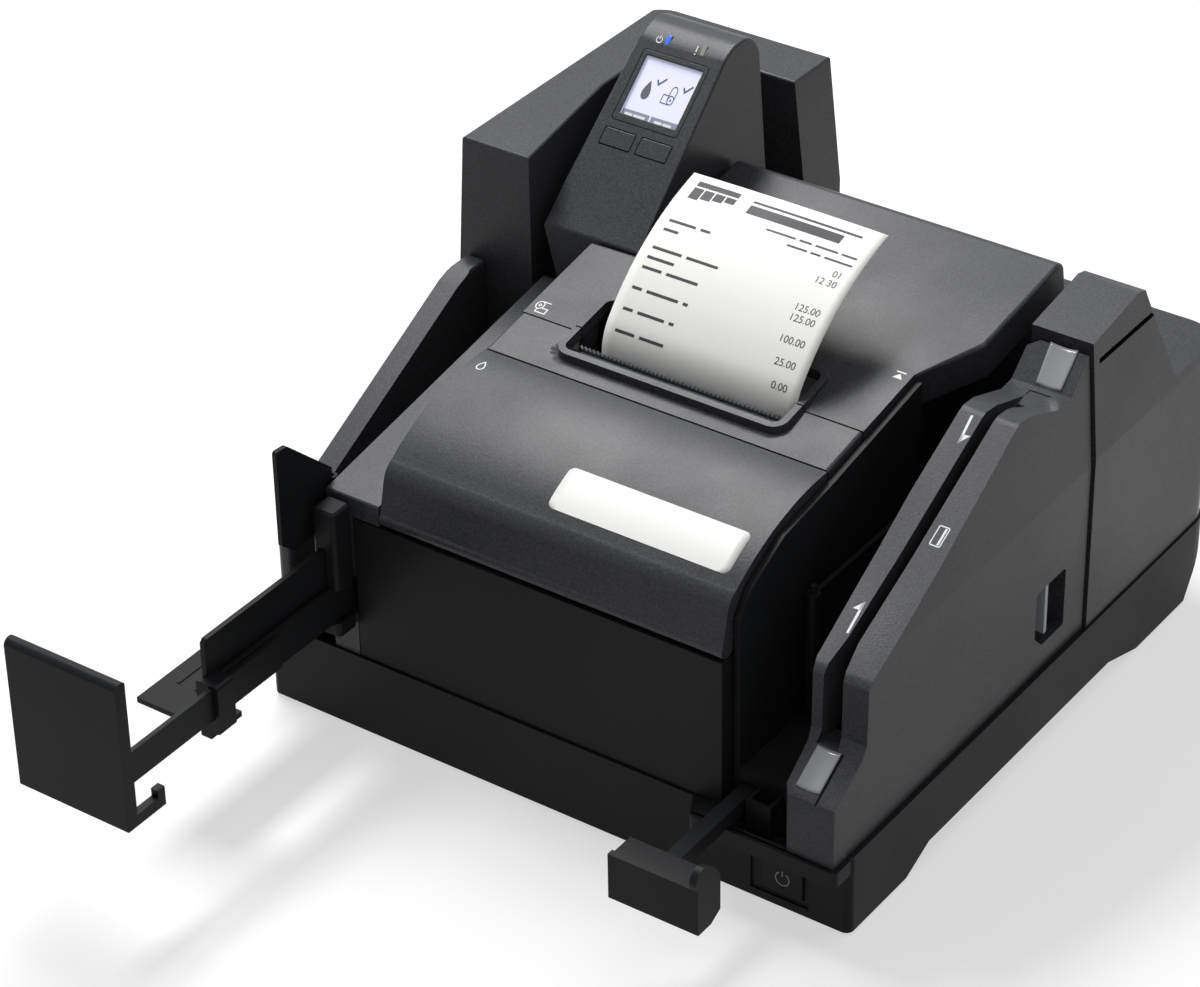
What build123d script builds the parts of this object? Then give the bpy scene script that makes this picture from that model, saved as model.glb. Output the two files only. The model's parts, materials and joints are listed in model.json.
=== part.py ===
"""Desktop cheque scanner with a receipt printer, a card swipe slot and a small display.

The machine is modelled in millimetres, Z up, standing on its rubber feet at Z = 0, with the
origin under the middle of its overall box. Sizes inside the model are read from the datum of
the machine itself: width from the middle of the base (left is negative), depth from the front
face of the base (back is positive) and height from the underside of the base.
"""

import os
from math import atan, cos, pi, radians, sin, tan

from build123d import *

os.makedirs("parts", exist_ok=True)

# ---------------------------------------------------------------- driving dimensions
MID_X = 3.25  # middle of the base, measured from the origin
FRONT_Y = -63.75  # front face of the base, measured from the origin
FEET_H = 1.2  # the rubber feet lift the base this far off the table

WALL = 2.4  # moulded wall
GAP = 0.6  # parting gap between two covers
FIT = 0.05  # radial clearance of a pin in its bore

BASE_W, BASE_D, SEAM_Z = 244.0, 251.0, 31.5
LOWER_Z = SEAM_Z + 0.3  # underside of everything that stands on the base

LIP_Y, LIP_Z, LIP_LEFT = -9.4, 25.5, 60.0
PANEL_LEFT, PANEL_RIGHT, PANEL_TOP = -80.9, 71.0, 89.3

COVER_LEFT, COVER_RIGHT = -69.0, 71.0  # front cover, exit frame and front of the roll cover
SHOULDER_LEFT, SHOULDER_RIGHT = -92.0, -69.6
SHOULDER_SLOPE = 0.165
DECK_Y, DECK_Z, DECK_SLOPE = 63.5, 129.9, 0.173  # the rising printer top
SPLIT_Y = 85.0  # exit frame meets roll cover
ROLL_COVER_BACK = 192.8
ROLL_HINGE_Y, ROLL_HINGE_Z = 186.0, 140.0
COVER_HINGE_Y, COVER_HINGE_Z, COVER_HINGE_R = 4.0, 93.4, 3.4

PAPER_LEFT, PAPER_RIGHT = -35.0, 44.5
PAPER_ROLL_Y, PAPER_ROLL_Z, PAPER_ROLL_R = 140.0, 93.5, 37.0
PLATEN_Y, PLATEN_Z, PLATEN_R = 91.5, 121.0, 6.2

FLOOR_Z = 44.0  # the paper path's floor
PATH_OUT, PATH_IN = 30.0, 26.0  # radii of the turn behind the printer, outside and inside
TURN_Y = 198.0  # where the path's turns begin
TURN_RIGHT, TURN_LEFT = 63.5, -76.0  # centres of the two turns

TOWER_FRONT, TOWER_BACK, TOWER_RIGHT = -7.7, 155.1, 120.2
TOWER_HINGE_X, TOWER_HINGE_Y = 115.4, -2.6
SLOT_LEFT, SLOT_RIGHT = 104.2, 108.5
REAR_FRONT = 156.4  # front of the rear housings beside the tower

DISPLAY_SLOPE = 40.7  # degrees
DISPLAY_LEFT, DISPLAY_RIGHT = -91.5, -50.5
DISPLAY_Y, DISPLAY_Z = 130.0, 141.4


# ---------------------------------------------------------------- sketch planes
def side(x):
    """Upright plane across the machine at width x: sketch axes are depth and height."""
    return Plane(origin=(MID_X + x, FRONT_Y, FEET_H), x_dir=(0, 1, 0), z_dir=(1, 0, 0))


def front(y):
    """Upright plane facing the user at depth y: sketch axes are width and height."""
    return Plane(origin=(MID_X, FRONT_Y + y, FEET_H), x_dir=(1, 0, 0), z_dir=(0, -1, 0))


def level(z):
    """Level plane at height z: sketch axes are width and depth."""
    return Plane(origin=(MID_X, FRONT_Y, FEET_H + z))


DECK_ANGLE = atan(DECK_SLOPE)
deck = Plane(
    origin=(MID_X, FRONT_Y + DECK_Y, FEET_H + DECK_Z),
    x_dir=(1, 0, 0),
    z_dir=(0, -sin(DECK_ANGLE), cos(DECK_ANGLE)),
)
FACE_ANGLE = radians(DISPLAY_SLOPE)
display_face = Plane(
    origin=(MID_X, FRONT_Y + DISPLAY_Y, FEET_H + DISPLAY_Z),
    x_dir=(1, 0, 0),
    z_dir=(0, -sin(FACE_ANGLE), cos(FACE_ANGLE)),
)


def along_deck(y):
    """Sketch height on the deck plane of a point at depth y."""
    return (y - DECK_Y) / cos(DECK_ANGLE)


def along_face(y):
    """Sketch height on the display face of a point at depth y."""
    return (y - DISPLAY_Y) / cos(FACE_ANGLE)


def deck_z(y):
    """Height of the printer top at depth y."""
    return DECK_Z + DECK_SLOPE * (y - DECK_Y)


def shoulder_z(y):
    """Height of the left shoulder at depth y."""
    return 98.0 + SHOULDER_SLOPE * (y - 1.0)


def box(x0, x1, y0, y1, z0, z1, mode=Mode.ADD):
    """Add or cut a block given by its width, depth and height limits."""
    with BuildSketch(level(z0)) as footprint:
        with Locations(((x0 + x1) / 2, (y0 + y1) / 2)):
            Rectangle(x1 - x0, y1 - y0)
    extrude(footprint.sketch, amount=z1 - z0, mode=mode)


def profile(points, radius=0.0):
    """Closed outline through the points, its corners rounded where a radius is given."""
    with BuildLine() as outline:
        if radius:
            FilletPolyline(*points, radius=radius, close=True)
        else:
            Polyline(*points, close=True)
    make_face(outline.edges())


def gear_outline(teeth, module, phase):
    """Spur gear outline in the current sketch, one tooth centred on the phase angle."""
    root = (teeth / 2 - 1.1) * module
    tip = (teeth / 2 + 0.8) * module
    pitch = 360.0 / teeth
    Circle(root)
    with Locations((0, 0)):
        for tooth in range(teeth):
            angle = radians(phase + tooth * pitch)
            half_root, half_tip = 0.29 * radians(pitch), 0.12 * radians(pitch)
            corners = [
                (0.96 * root * cos(angle - half_root), 0.96 * root * sin(angle - half_root)),
                (tip * cos(angle - half_tip), tip * sin(angle - half_tip)),
                (tip * cos(angle + half_tip), tip * sin(angle + half_tip)),
                (0.96 * root * cos(angle + half_root), 0.96 * root * sin(angle + half_root)),
            ]
            with BuildLine() as tooth_outline:
                Polyline(*corners, close=True)
            make_face(tooth_outline.edges())


# ================================================================ lower case
LEG_SPOTS = [(-58.5, 14.0), (58.5, 14.0), (-44.0, 180.0), (44.0, 180.0)]
BASE_OUTLINE = [
    (0, SEAM_Z), (0, 0), (36, 0), (50.5, 6.4), (174, 6.3), (195, 0), (231, 0), (BASE_D, SEAM_Z),
]
CAVITY_OUTLINE = [
    (WALL, 40), (WALL, WALL), (35, WALL), (49.5, 8.8), (174.5, 8.7), (195.5, WALL), (229.4, WALL),
    (BASE_D - WALL, SEAM_Z), (BASE_D - WALL, 40),
]

with BuildPart() as base_cavity:
    with BuildSketch(side(-BASE_W / 2 + WALL)):
        profile(CAVITY_OUTLINE)
    extrude(amount=BASE_W - 2 * WALL)
    with BuildSketch(level(0)) as cavity_plan:
        with Locations((0, BASE_D / 2)):
            Rectangle(BASE_W - 2 * WALL, BASE_D - 2 * WALL)
        fillet(cavity_plan.vertices().group_by(Axis.Y)[-1], radius=14.0 - WALL)
    extrude(amount=60, mode=Mode.INTERSECT)

with BuildPart() as base:
    with BuildSketch(side(-BASE_W / 2)):
        profile(BASE_OUTLINE)
    extrude(amount=BASE_W)
    with BuildSketch(level(-1)) as base_plan:
        with Locations((0, BASE_D / 2)):
            Rectangle(BASE_W, BASE_D)
        fillet(base_plan.vertices().group_by(Axis.Y)[-1], radius=14.0)
        fillet(base_plan.vertices().group_by(Axis.Y)[0], radius=3.0)
    extrude(amount=60, mode=Mode.INTERSECT)
    add(base_cavity.part, mode=Mode.SUBTRACT)
    # the lip under the entry pocket, with the trough behind it
    with BuildSketch(level(LIP_Z)) as lip_plan:
        with BuildLine():
            Polyline(
                (LIP_LEFT, 0), (LIP_LEFT + 5, LIP_Y), (BASE_W / 2, LIP_Y), (BASE_W / 2, 0), close=True
            )
        make_face()
        fillet(lip_plan.vertices().group_by(Axis.Y)[0], radius=2.0)
    extrude(amount=SEAM_Z - LIP_Z)
    box(73, 101, LIP_Y + 3.4, WALL + 0.2, LIP_Z + 1.6, SEAM_Z + 1, Mode.SUBTRACT)
    box(64, 110, LIP_Y + 1.4, LIP_Y + 2.4, SEAM_Z - 1.0, SEAM_Z + 1, Mode.SUBTRACT)
    # recess of the power button, with the hole that the button works in
    box(83, 106, -1, 0.9, 3.2, 21.5, Mode.SUBTRACT)
    box(87.6, 104.0, -1, WALL + 1, 5.6, 18.6, Mode.SUBTRACT)
    # inner ribs and the posts that carry the upper case
    for rib_y in (60.0, 120.0, 180.0):
        box(-BASE_W / 2 + 1, BASE_W / 2 - 1, rib_y, rib_y + 1.8, 7.5, 11.5)
    with BuildSketch(level(1.5)):
        with Locations(*LEG_SPOTS):
            Rectangle(8.4, 8.4)
    extrude(amount=SEAM_Z - 1.5)
    # pivot of the swipe cover
    with BuildSketch(level(SEAM_Z)):
        with Locations((TOWER_HINGE_X, TOWER_HINGE_Y)):
            Circle(2.2)
    extrude(amount=15)
    # vents in the left wall
    for vent in range(7):
        vent_y = 150 + vent * 8
        box(-BASE_W / 2 - 1, -BASE_W / 2 + WALL + 1, vent_y, vent_y + 3, 14, 26, Mode.SUBTRACT)
    # opening for the connectors at the back
    box(-60, 34, BASE_D - 18, BASE_D + 5, 12, 27, Mode.SUBTRACT)
base.part.label = "base"
export_step(base.part, "parts/base.step")

FOOT_SPOTS = [(-104, 20), (104, 20), (-104, 212), (104, 212)]
with BuildPart() as rubber_feet:
    with BuildSketch(level(0)):
        with Locations(*FOOT_SPOTS):
            Rectangle(18, 12)
    extrude(amount=-FEET_H, taper=8)
rubber_feet.part.label = "rubber_feet"
export_step(rubber_feet.part, "parts/rubber_feet.step")

with BuildPart() as power_button:
    with BuildSketch(front(3.4)):
        with Locations((95.8, 12.1)):
            RectangleRounded(15.6, 12.2, 1.5)
    extrude(amount=3.6)
    with BuildSketch(front(5.0)):
        with Locations((95.8, 12.1)):
            Rectangle(18.6, 15.0)
    extrude(amount=1.8)
    with BuildSketch(front(5.0)):
        with Locations((95.8, 12.1)):
            Rectangle(5, 5)
    extrude(amount=-6)
power_button.part.label = "power_button"
export_step(power_button.part, "parts/power_button.step")

# ================================================================ front of the printer
with BuildPart() as front_panel:
    box(PANEL_LEFT, PANEL_RIGHT, 1.0, 3.2, LOWER_Z, PANEL_TOP)
    box(PANEL_LEFT, PANEL_LEFT + WALL, 3.0, 3.8, LOWER_Z, PANEL_TOP)
    box(PANEL_RIGHT - WALL, PANEL_RIGHT, 3.0, 9.0, LOWER_Z, PANEL_TOP)
    for rib_x in (-40.0, 0.0, 40.0):
        box(rib_x - 0.9, rib_x + 0.9, 3.0, 6.4, LOWER_Z, PANEL_TOP - 3)
front_panel.part.label = "front_panel"
export_step(front_panel.part, "parts/front_panel.step")


def cover_skin(inset, closing):
    """Front cover's curve, inset below its outer surface, closed through the given points."""
    with BuildLine() as skin:
        nose = Line((0.7 + inset, 92.5), (4.2 + inset, 107.6 - 0.2 * inset))
        bend = ThreePointArc(
            nose @ 1, (5.9 + 0.85 * inset, 111.2 - 0.5 * inset), (9.4 + 0.55 * inset, 113.9 - 0.85 * inset)
        )
        brow = ThreePointArc(bend @ 1, (32.7 + 0.3 * inset, 125.4 - 0.95 * inset), (63.2, 129.8 - inset))
        Polyline(brow @ 1, *closing, nose @ 0)
    make_face(skin.edges())


SKIRT = [(63.2, shoulder_z(63.2) + 1.2), (7.4, shoulder_z(7.4) - 3.4), (7.4, 92.5)]
with BuildPart() as front_cover:
    with BuildSketch(side(COVER_LEFT)):
        cover_skin(0.0, SKIRT)
    extrude(amount=COVER_RIGHT - COVER_LEFT)
    with BuildSketch(side(COVER_LEFT + WALL)):
        cover_skin(WALL, [(66, 129.8 - WALL), (66, 88), (0.7 + WALL, 88)])
    extrude(amount=COVER_RIGHT - COVER_LEFT - 2 * WALL, mode=Mode.SUBTRACT)
    # rounded bottom edge, round the hinge line
    with BuildSketch(side(COVER_LEFT)):
        with Locations((COVER_HINGE_Y, COVER_HINGE_Z)):
            Circle(COVER_HINGE_R)
    extrude(amount=COVER_RIGHT - COVER_LEFT)
    for lug_x in (-56.0, 55.0):
        with BuildSketch(side(lug_x - 4.4)):
            with Locations((COVER_HINGE_Y, COVER_HINGE_Z)):
                Circle(2.3)
                with Locations((4, 0)):
                    Rectangle(8, 4.8)
        extrude(amount=8.8, mode=Mode.SUBTRACT)
        box(lug_x - 4.4, lug_x + 4.4, 1.45, 12, 89, COVER_HINGE_Z, Mode.SUBTRACT)
        with BuildSketch(side(lug_x - 8)):
            with Locations((COVER_HINGE_Y, COVER_HINGE_Z)):
                Circle(1.2 + FIT)
        extrude(amount=16, mode=Mode.SUBTRACT)
    # two stiffening ribs under the skin
    for rib_x in (-24.0, 28.0):
        with BuildSketch(side(rib_x)):
            cover_skin(WALL - 0.4, [(60, 123), (33, 119), (12, 108), (8.4, 103)])
        extrude(amount=1.6)
front_cover.part.label = "front_cover"
export_step(front_cover.part, "parts/front_cover.step")

# ================================================================ left shoulder and exit pocket
with BuildPart() as shoulder_case:
    with BuildSketch(side(SHOULDER_LEFT)):
        profile(
            [
                (1, LOWER_Z), (1, shoulder_z(1)), (DISPLAY_Y - GAP, shoulder_z(DISPLAY_Y)),
                (DISPLAY_Y - GAP, LOWER_Z),
            ]
        )
    extrude(amount=SHOULDER_RIGHT - SHOULDER_LEFT)
    top_edges = shoulder_case.edges().filter_by(Axis.X).group_by(Axis.Z)[-2]
    fillet(top_edges, radius=1.2)
    with BuildSketch(side(SHOULDER_LEFT + WALL)):
        profile(
            [
                (6.0, 20), (6.0, shoulder_z(4) - WALL), (DISPLAY_Y - 3, shoulder_z(DISPLAY_Y) - WALL),
                (DISPLAY_Y - 3, 20),
            ]
        )
    extrude(amount=SHOULDER_RIGHT - SHOULDER_LEFT - 2 * WALL, mode=Mode.SUBTRACT)
    # the front panel lies in front of this corner
    box(PANEL_LEFT - 0.3, -60, 0, 4.2, 20, PANEL_TOP + 0.9, Mode.SUBTRACT)
    # slots for the sliding guide and its rail
    box(-88.8, -85.8, 0, 8, 58.4, 80.2, Mode.SUBTRACT)
    box(-86.0, -81.2, 0, 8, 49.4, 65.1, Mode.SUBTRACT)
    # window of the exit roller, and the way of the belt
    box(SHOULDER_LEFT - 1, SHOULDER_LEFT + WALL + 1, 107, 127.5, 48, 84, Mode.SUBTRACT)
    box(SHOULDER_LEFT - 1, SHOULDER_RIGHT + 1, 98, DISPLAY_Y + 1, 20, 42, Mode.SUBTRACT)
    # hinge lug and pin of the exit flap
    box(-96.0, SHOULDER_LEFT + 0.5, 5.2, 8.8, 79.6, 82.6)
    with BuildSketch(level(81)):
        with Locations((-94.4, 7)):
            Circle(1.0)
    extrude(amount=15)
shoulder_case.part.label = "shoulder_case"
export_step(shoulder_case.part, "parts/shoulder_case.step")

with BuildPart() as exit_pocket:
    with BuildSketch(side(-125)):
        profile([(10, LOWER_Z), (10, 64), (110, 116), (119, 119), (126.6, 119), (126.6, LOWER_Z)])
    extrude(amount=8.6)
    fillet(exit_pocket.edges().filter_by(Axis.Z).group_by(Axis.Y)[0], radius=3.6)
    fillet(exit_pocket.edges().group_by(Axis.Z)[-1].filter_by(Axis.Y), radius=1.6)
    box(-117, SHOULDER_LEFT - 0.4, 2.0, 126.6, FLOOR_Z + 0.6, FLOOR_Z + 2.6)
    box(-117, SHOULDER_LEFT - 0.4, 118.0, 120.0, LOWER_Z, FLOOR_Z + 2.6)
    box(-119.2, -116.0, 0, 96, 41.2, FLOOR_Z + 0.6, Mode.SUBTRACT)
exit_pocket.part.label = "exit_pocket"
export_step(exit_pocket.part, "parts/exit_pocket.step")

with BuildPart() as exit_post:
    with BuildSketch(level(45)):
        with Locations((-86.1, -4.2)):
            RectangleRounded(9.8, 9.8, 1.8)
    extrude(amount=51)
    chamfer(exit_post.faces().sort_by(Axis.Z)[-1].edges(), length=0.9)
    box(-88.8, -85.8, -10, 2, 58.4, 80.2, Mode.SUBTRACT)
    box(-86.0, -83.1, -10, 2, 49.4, 65.1, Mode.SUBTRACT)
    box(-83.2, -80.0, -10, 2, 50.4, 64.1, Mode.SUBTRACT)
exit_post.part.label = "exit_post"
export_step(exit_post.part, "parts/exit_post.step")

with BuildPart() as exit_guide:
    # guide plate, rail, front clip and the tray's floor slide as one piece
    with BuildSketch(side(-88.4)):
        profile([(-73, 59), (-73, 78.2), (-71.6, 79.6), (20, 79.6), (20, 59)])
    extrude(amount=2.0)
    box(-85.5, -83.7, -76, 50, 49.9, 64.6)
    box(-88.4, -83.7, -10.5, -9.6, 59.2, 64.4)
    box(-88.4, -83.7, 14.0, 16.0, 59.2, 64.4)
    with BuildSketch(front(-67.5)):
        with Locations((-84.2, 54.8)):
            RectangleRounded(9.4, 19.6, 1.2)
    extrude(amount=8.5)
    box(-83.7, -81.3, -77, -66, 50.7, 63.9, Mode.SUBTRACT)
    box(-88.4, -83.8, -76, -67.5, 41.8, 46)
    box(-118.5, -83.8, -74, -60, 41.8, FLOOR_Z)
    box(-118.5, SHOULDER_LEFT - 1.0, -61, 34, 41.8, FLOOR_Z)
    for rib_x in (-112.0, -104.0, -96.0):
        box(rib_x - 0.6, rib_x + 0.6, -60, -4, FLOOR_Z - 0.2, FLOOR_Z + 0.4)
exit_guide.part.label = "exit_guide"
export_step(exit_guide.part, "parts/exit_guide.step")

END_LEFT, END_RIGHT, END_BOTTOM, END_TOP = -127.3, -79.5, 35.5, 94.5
with BuildPart() as exit_end_plate:
    with BuildSketch(side(END_LEFT)):
        with BuildLine():
            lip_back = Line((-122.1, END_BOTTOM), (-122.1, END_TOP - 3.4))
            lip_roll = ThreePointArc(lip_back @ 1, (-120.9, END_TOP - 2.2), (-119.5, END_TOP - 2.6))
            lip_end = Line(lip_roll @ 1, (-119.5, END_TOP - 0.9))
            lip_top = ThreePointArc(lip_end @ 1, (-122.6, END_TOP), (-124.5, END_TOP - 2.0))
            Polyline(lip_top @ 1, (-124.5, END_BOTTOM), lip_back @ 0)
        make_face()
    extrude(amount=END_RIGHT - END_LEFT)
    for lip_x in (END_LEFT, END_RIGHT - 2.0):
        box(lip_x, lip_x + 2.0, -122.6, -119.5, END_BOTTOM, END_TOP - 1.9)
    box(END_RIGHT - 3.0, END_RIGHT, -122.3, -105.5, END_BOTTOM, 40.0)
    box(END_RIGHT - 3.0, END_RIGHT, -109.0, -105.5, 39.5, 43.0)
    box(-83.4, -81.6, -122.3, -40, 51, 63.5)
exit_end_plate.part.label = "exit_end_plate"
export_step(exit_end_plate.part, "parts/exit_end_plate.step")

with BuildPart() as exit_flap:
    with BuildSketch(side(-95.3)):
        profile([(-22, 86), (-22, 124), (-16, 123.4), (7, 102.4), (7, 83.2), (-15, 80.6)], radius=1.2)
    extrude(amount=1.8)
    with BuildSketch(level(83.2)):
        with Locations((-94.4, 7)):
            Circle(2.1)
    extrude(amount=16)
    with BuildSketch(level(80)):
        with Locations((-94.4, 7)):
            Circle(1.0 + FIT)
    extrude(amount=30, mode=Mode.SUBTRACT)
exit_flap.part.label = "exit_flap"
export_step(exit_flap.part, "parts/exit_flap.step")

# ================================================================ printer frame
with BuildPart() as main_frame:
    with BuildSketch(side(-66.0)):
        profile(
            [
                (8.4, 42), (8.4, 97), (9.6, 104), (15, 110), (33, 120), (60, 124.6), (66, 125.6),
                (181, deck_z(181) - 6.5), (181, 128), (204.6, 118), (204.6, 42),
            ]
        )
    extrude(amount=134.0)
    # ink bay behind the front cover
    with BuildSketch(side(-62.5)):
        profile([(4, 58), (4, 140), (62, 140), (62, 58)])
    extrude(amount=127.0, mode=Mode.SUBTRACT)
    # opening in front of the print head and platen
    with BuildSketch(side(-50)):
        profile([(65, 96), (65, 140), (104, 140), (104, 118), (99, 118), (99, 96)])
    extrude(amount=110.0, mode=Mode.SUBTRACT)
    # bucket of the paper roll, open at the top
    with BuildSketch(side(-38.0)):
        with Locations((PAPER_ROLL_Y, PAPER_ROLL_Z + 2.5)):
            Circle(PAPER_ROLL_R + 3)
        with Locations((PAPER_ROLL_Y, 130)):
            Rectangle(2 * PAPER_ROLL_R + 6, 70)
        with Locations((99, 108)):
            Rectangle(10, 26)
    extrude(amount=86.0, mode=Mode.SUBTRACT)
    # room of the feed motor, and the corner that the display tower fills
    box(-62.5, -42.0, 76, 107, 84, 150, Mode.SUBTRACT)
    box(-67.0, -46.2, 124.4, 210, 106.5, 160, Mode.SUBTRACT)
    # drive room on the left and cable room on the right of the bucket
    for room_x, room_w in ((-62.5, 20.5), (52.0, 12.5)):
        with BuildSketch(side(room_x)):
            profile([(102, 50), (102, 160), (178, 160), (178, 50)])
        extrude(amount=room_w, mode=Mode.SUBTRACT)
    # hollow from below
    box(-62.5, 64.5, 10, 97, 40, 54, Mode.SUBTRACT)
    box(-62.5, 64.5, 184.5, 202.5, 40, 112, Mode.SUBTRACT)
    # hinge pins of the front cover
    for lug_x in (-56.0, 55.0):
        with BuildSketch(side(lug_x - 3.6)):
            with Locations((COVER_HINGE_Y, COVER_HINGE_Z)):
                Circle(1.8)
            profile([(4, 91.6), (8.4, 91.6), (8.4, 57), (11, 57), (11, 95.2), (4, 95.2)])
        extrude(amount=7.2)
        with BuildSketch(side(lug_x - 7)):
            with Locations((COVER_HINGE_Y, COVER_HINGE_Z)):
                Circle(1.2)
        extrude(amount=14)
    # legs on the base
    with BuildSketch(level(LOWER_Z)):
        with Locations(*LEG_SPOTS):
            Rectangle(8.4, 8.4)
    extrude(amount=24)
    # hinge ears of the roll cover
    for ear_x in (-46.0, 63.0):
        with BuildSketch(side(ear_x)):
            with Locations((ROLL_HINGE_Y, ROLL_HINGE_Z)):
                Circle(4.0)
            with BuildLine():
                Polyline(
                    (182, 140), (190, 140), (187.6, 136), (184.6, 131), (184.6, 118), (182, 112), close=True
                )
            make_face()
            with Locations((ROLL_HINGE_Y, ROLL_HINGE_Z)):
                Circle(2.0 + FIT, mode=Mode.SUBTRACT)
        extrude(amount=3.0)
main_frame.part.label = "main_frame"
export_step(main_frame.part, "parts/main_frame.step")

EXIT_LEFT, EXIT_RIGHT, EXIT_FRONT, EXIT_BACK = -43.7, 44.6, 74.2, 103.0
RIM_W, RIM_RISE, MOAT_END = 2.7, 2.0, 97.0  # the moat before the rim fades out at this depth
MOAT_ANGLE = DECK_ANGLE + radians(2.6)
moat_floor = Plane(
    origin=(MID_X, FRONT_Y + MOAT_END, FEET_H + deck_z(MOAT_END)),
    x_dir=(1, 0, 0),
    z_dir=(0, -sin(MOAT_ANGLE), cos(MOAT_ANGLE)),
)


def exit_hole(inset, plane_y=DECK_Y, plane_angle=DECK_ANGLE):
    """Rounded outline of the paper exit, grown outwards, on a plane that starts at depth plane_y."""
    middle = ((EXIT_FRONT + EXIT_BACK) / 2 - plane_y) / cos(plane_angle)
    length = (EXIT_BACK - EXIT_FRONT) / cos(plane_angle)
    with Locations(((EXIT_LEFT + EXIT_RIGHT) / 2, middle)):
        RectangleRounded(EXIT_RIGHT - EXIT_LEFT + 2 * inset, length + 2 * inset, 3.0 + inset)


def exit_rim():
    """Sink the soft moat before the paper exit, raise the rim round it and open its hole."""
    with BuildSketch(moat_floor) as moat:
        exit_hole(RIM_W - 0.4, MOAT_END, MOAT_ANGLE)
    extrude(moat.sketch, amount=1.7, taper=-72, mode=Mode.SUBTRACT)
    with BuildSketch(deck.offset(-1.4)) as rim:
        exit_hole(RIM_W + 0.5)
    extrude(rim.sketch, amount=RIM_RISE + 1.4, taper=11)
    with BuildSketch(deck.offset(-10)) as hole:
        exit_hole(0)
    extrude(hole.sketch, amount=20, mode=Mode.SUBTRACT)


with BuildPart() as exit_frame:
    with BuildSketch(deck):
        with BuildLine():
            Polyline(
                (COVER_LEFT, along_deck(63.9)), (COVER_RIGHT, along_deck(63.9)),
                (COVER_RIGHT, along_deck(SPLIT_Y)), (COVER_LEFT, along_deck(SPLIT_Y)), close=True,
            )
        make_face()
    extrude(amount=-WALL)
    for skirt_x in (COVER_LEFT, COVER_RIGHT - WALL):
        with BuildSketch(side(skirt_x)):
            profile(
                [
                    (64.3, deck_z(64.3) - 1), (64.3, shoulder_z(64.3) + 1.5),
                    (SPLIT_Y, shoulder_z(SPLIT_Y) + 1.5), (SPLIT_Y, deck_z(SPLIT_Y) - 1),
                ]
            )
        extrude(amount=WALL)
    exit_rim()
    box(-80, 80, SPLIT_Y, 120, 100, 160, Mode.SUBTRACT)
    # dark apron that leads the eye and the paper's edge down to the blade
    with BuildSketch(side(EXIT_LEFT - 0.4)):
        profile([(73.8, 130.6), (80.8, 129.3), (80.8, 128.3), (73.8, 129.6)])
    extrude(amount=EXIT_RIGHT - EXIT_LEFT + 0.8)
exit_frame.part.label = "exit_frame"
export_step(exit_frame.part, "parts/exit_frame.step")

ROLL_COVER_PLAN = [
    (COVER_LEFT, SPLIT_Y + GAP), (COVER_RIGHT, SPLIT_Y + GAP), (COVER_RIGHT, 117.8), (84.4, 141.6),
    (85.4, ROLL_COVER_BACK), (-49.2, ROLL_COVER_BACK), (-49.2, 129.0), (COVER_LEFT, 128.4),
]
with BuildPart() as roll_cover:
    with BuildSketch(deck):
        with BuildLine():
            Polyline(*[(x, along_deck(y)) for x, y in ROLL_COVER_PLAN], close=True)
        make_face()
    extrude(amount=-14)
    fillet(roll_cover.edges().group_by(Axis.Z)[-1].sort_by(Axis.Y)[-1], radius=4.0)
    with BuildSketch(deck.offset(-WALL)) as under_skin:
        with BuildLine():
            Polyline(*[(x, along_deck(y)) for x, y in ROLL_COVER_PLAN], close=True)
        make_face()
        offset(amount=-WALL, kind=Kind.INTERSECTION)
        with Locations((1, along_deck(SPLIT_Y))):
            Rectangle(COVER_RIGHT - COVER_LEFT - 2 * WALL, 12)
    extrude(amount=-30, mode=Mode.SUBTRACT)
    exit_rim()
    box(-80, 80, 60, SPLIT_Y + GAP, 100, 160, Mode.SUBTRACT)
    box(-80, -49.9, 129.2, 200, 100, 170, Mode.SUBTRACT)
    # ribs under the skin, clear of the roll
    for rib_y in (112.0, 172.0):
        box(-46, 68, rib_y, rib_y + 1.6, deck_z(rib_y) - 5.2, deck_z(rib_y) - 1.2)
    # brackets of the platen roller, beside the exit
    for bracket_x in (-46.8, 46.2):
        with BuildSketch(side(bracket_x)):
            with Locations((PLATEN_Y, PLATEN_Z)):
                Circle(3.6)
            profile([(88.2, PLATEN_Z), (88.2, deck_z(88.2) - 1), (98, deck_z(98) - 1), (94.8, PLATEN_Z)])
            with Locations((PLATEN_Y, PLATEN_Z)):
                Circle(1.5 + FIT, mode=Mode.SUBTRACT)
        extrude(amount=2.4)
    # hinge arms with their pins
    for arm_x, pin_x in ((-42.6, -46.0), (59.6, 59.6)):
        with BuildSketch(side(arm_x)):
            with Locations((ROLL_HINGE_Y, ROLL_HINGE_Z)):
                Circle(3.6)
            profile([(182.4, ROLL_HINGE_Z), (182.4, 149), (189.6, 149.4), (189.6, ROLL_HINGE_Z)])
        extrude(amount=3.0)
        with BuildSketch(side(pin_x)):
            with Locations((ROLL_HINGE_Y, ROLL_HINGE_Z)):
                Circle(2.0)
        extrude(amount=6.4)
roll_cover.part.label = "roll_cover"
export_step(roll_cover.part, "parts/roll_cover.step")

# ---------------------------------------------------------------- paper feed
with BuildPart() as platen_roller:
    with BuildSketch(side(PAPER_LEFT - 2)):
        with Locations((PLATEN_Y, PLATEN_Z)):
            Circle(PLATEN_R)
    extrude(amount=PAPER_RIGHT - PAPER_LEFT + 3)
    with BuildSketch(side(-52.0)):
        with Locations((PLATEN_Y, PLATEN_Z)):
            Circle(1.5)
    extrude(amount=101.4)
platen_roller.part.label = "platen_roller"
export_step(platen_roller.part, "parts/platen_roller.step")

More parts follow.
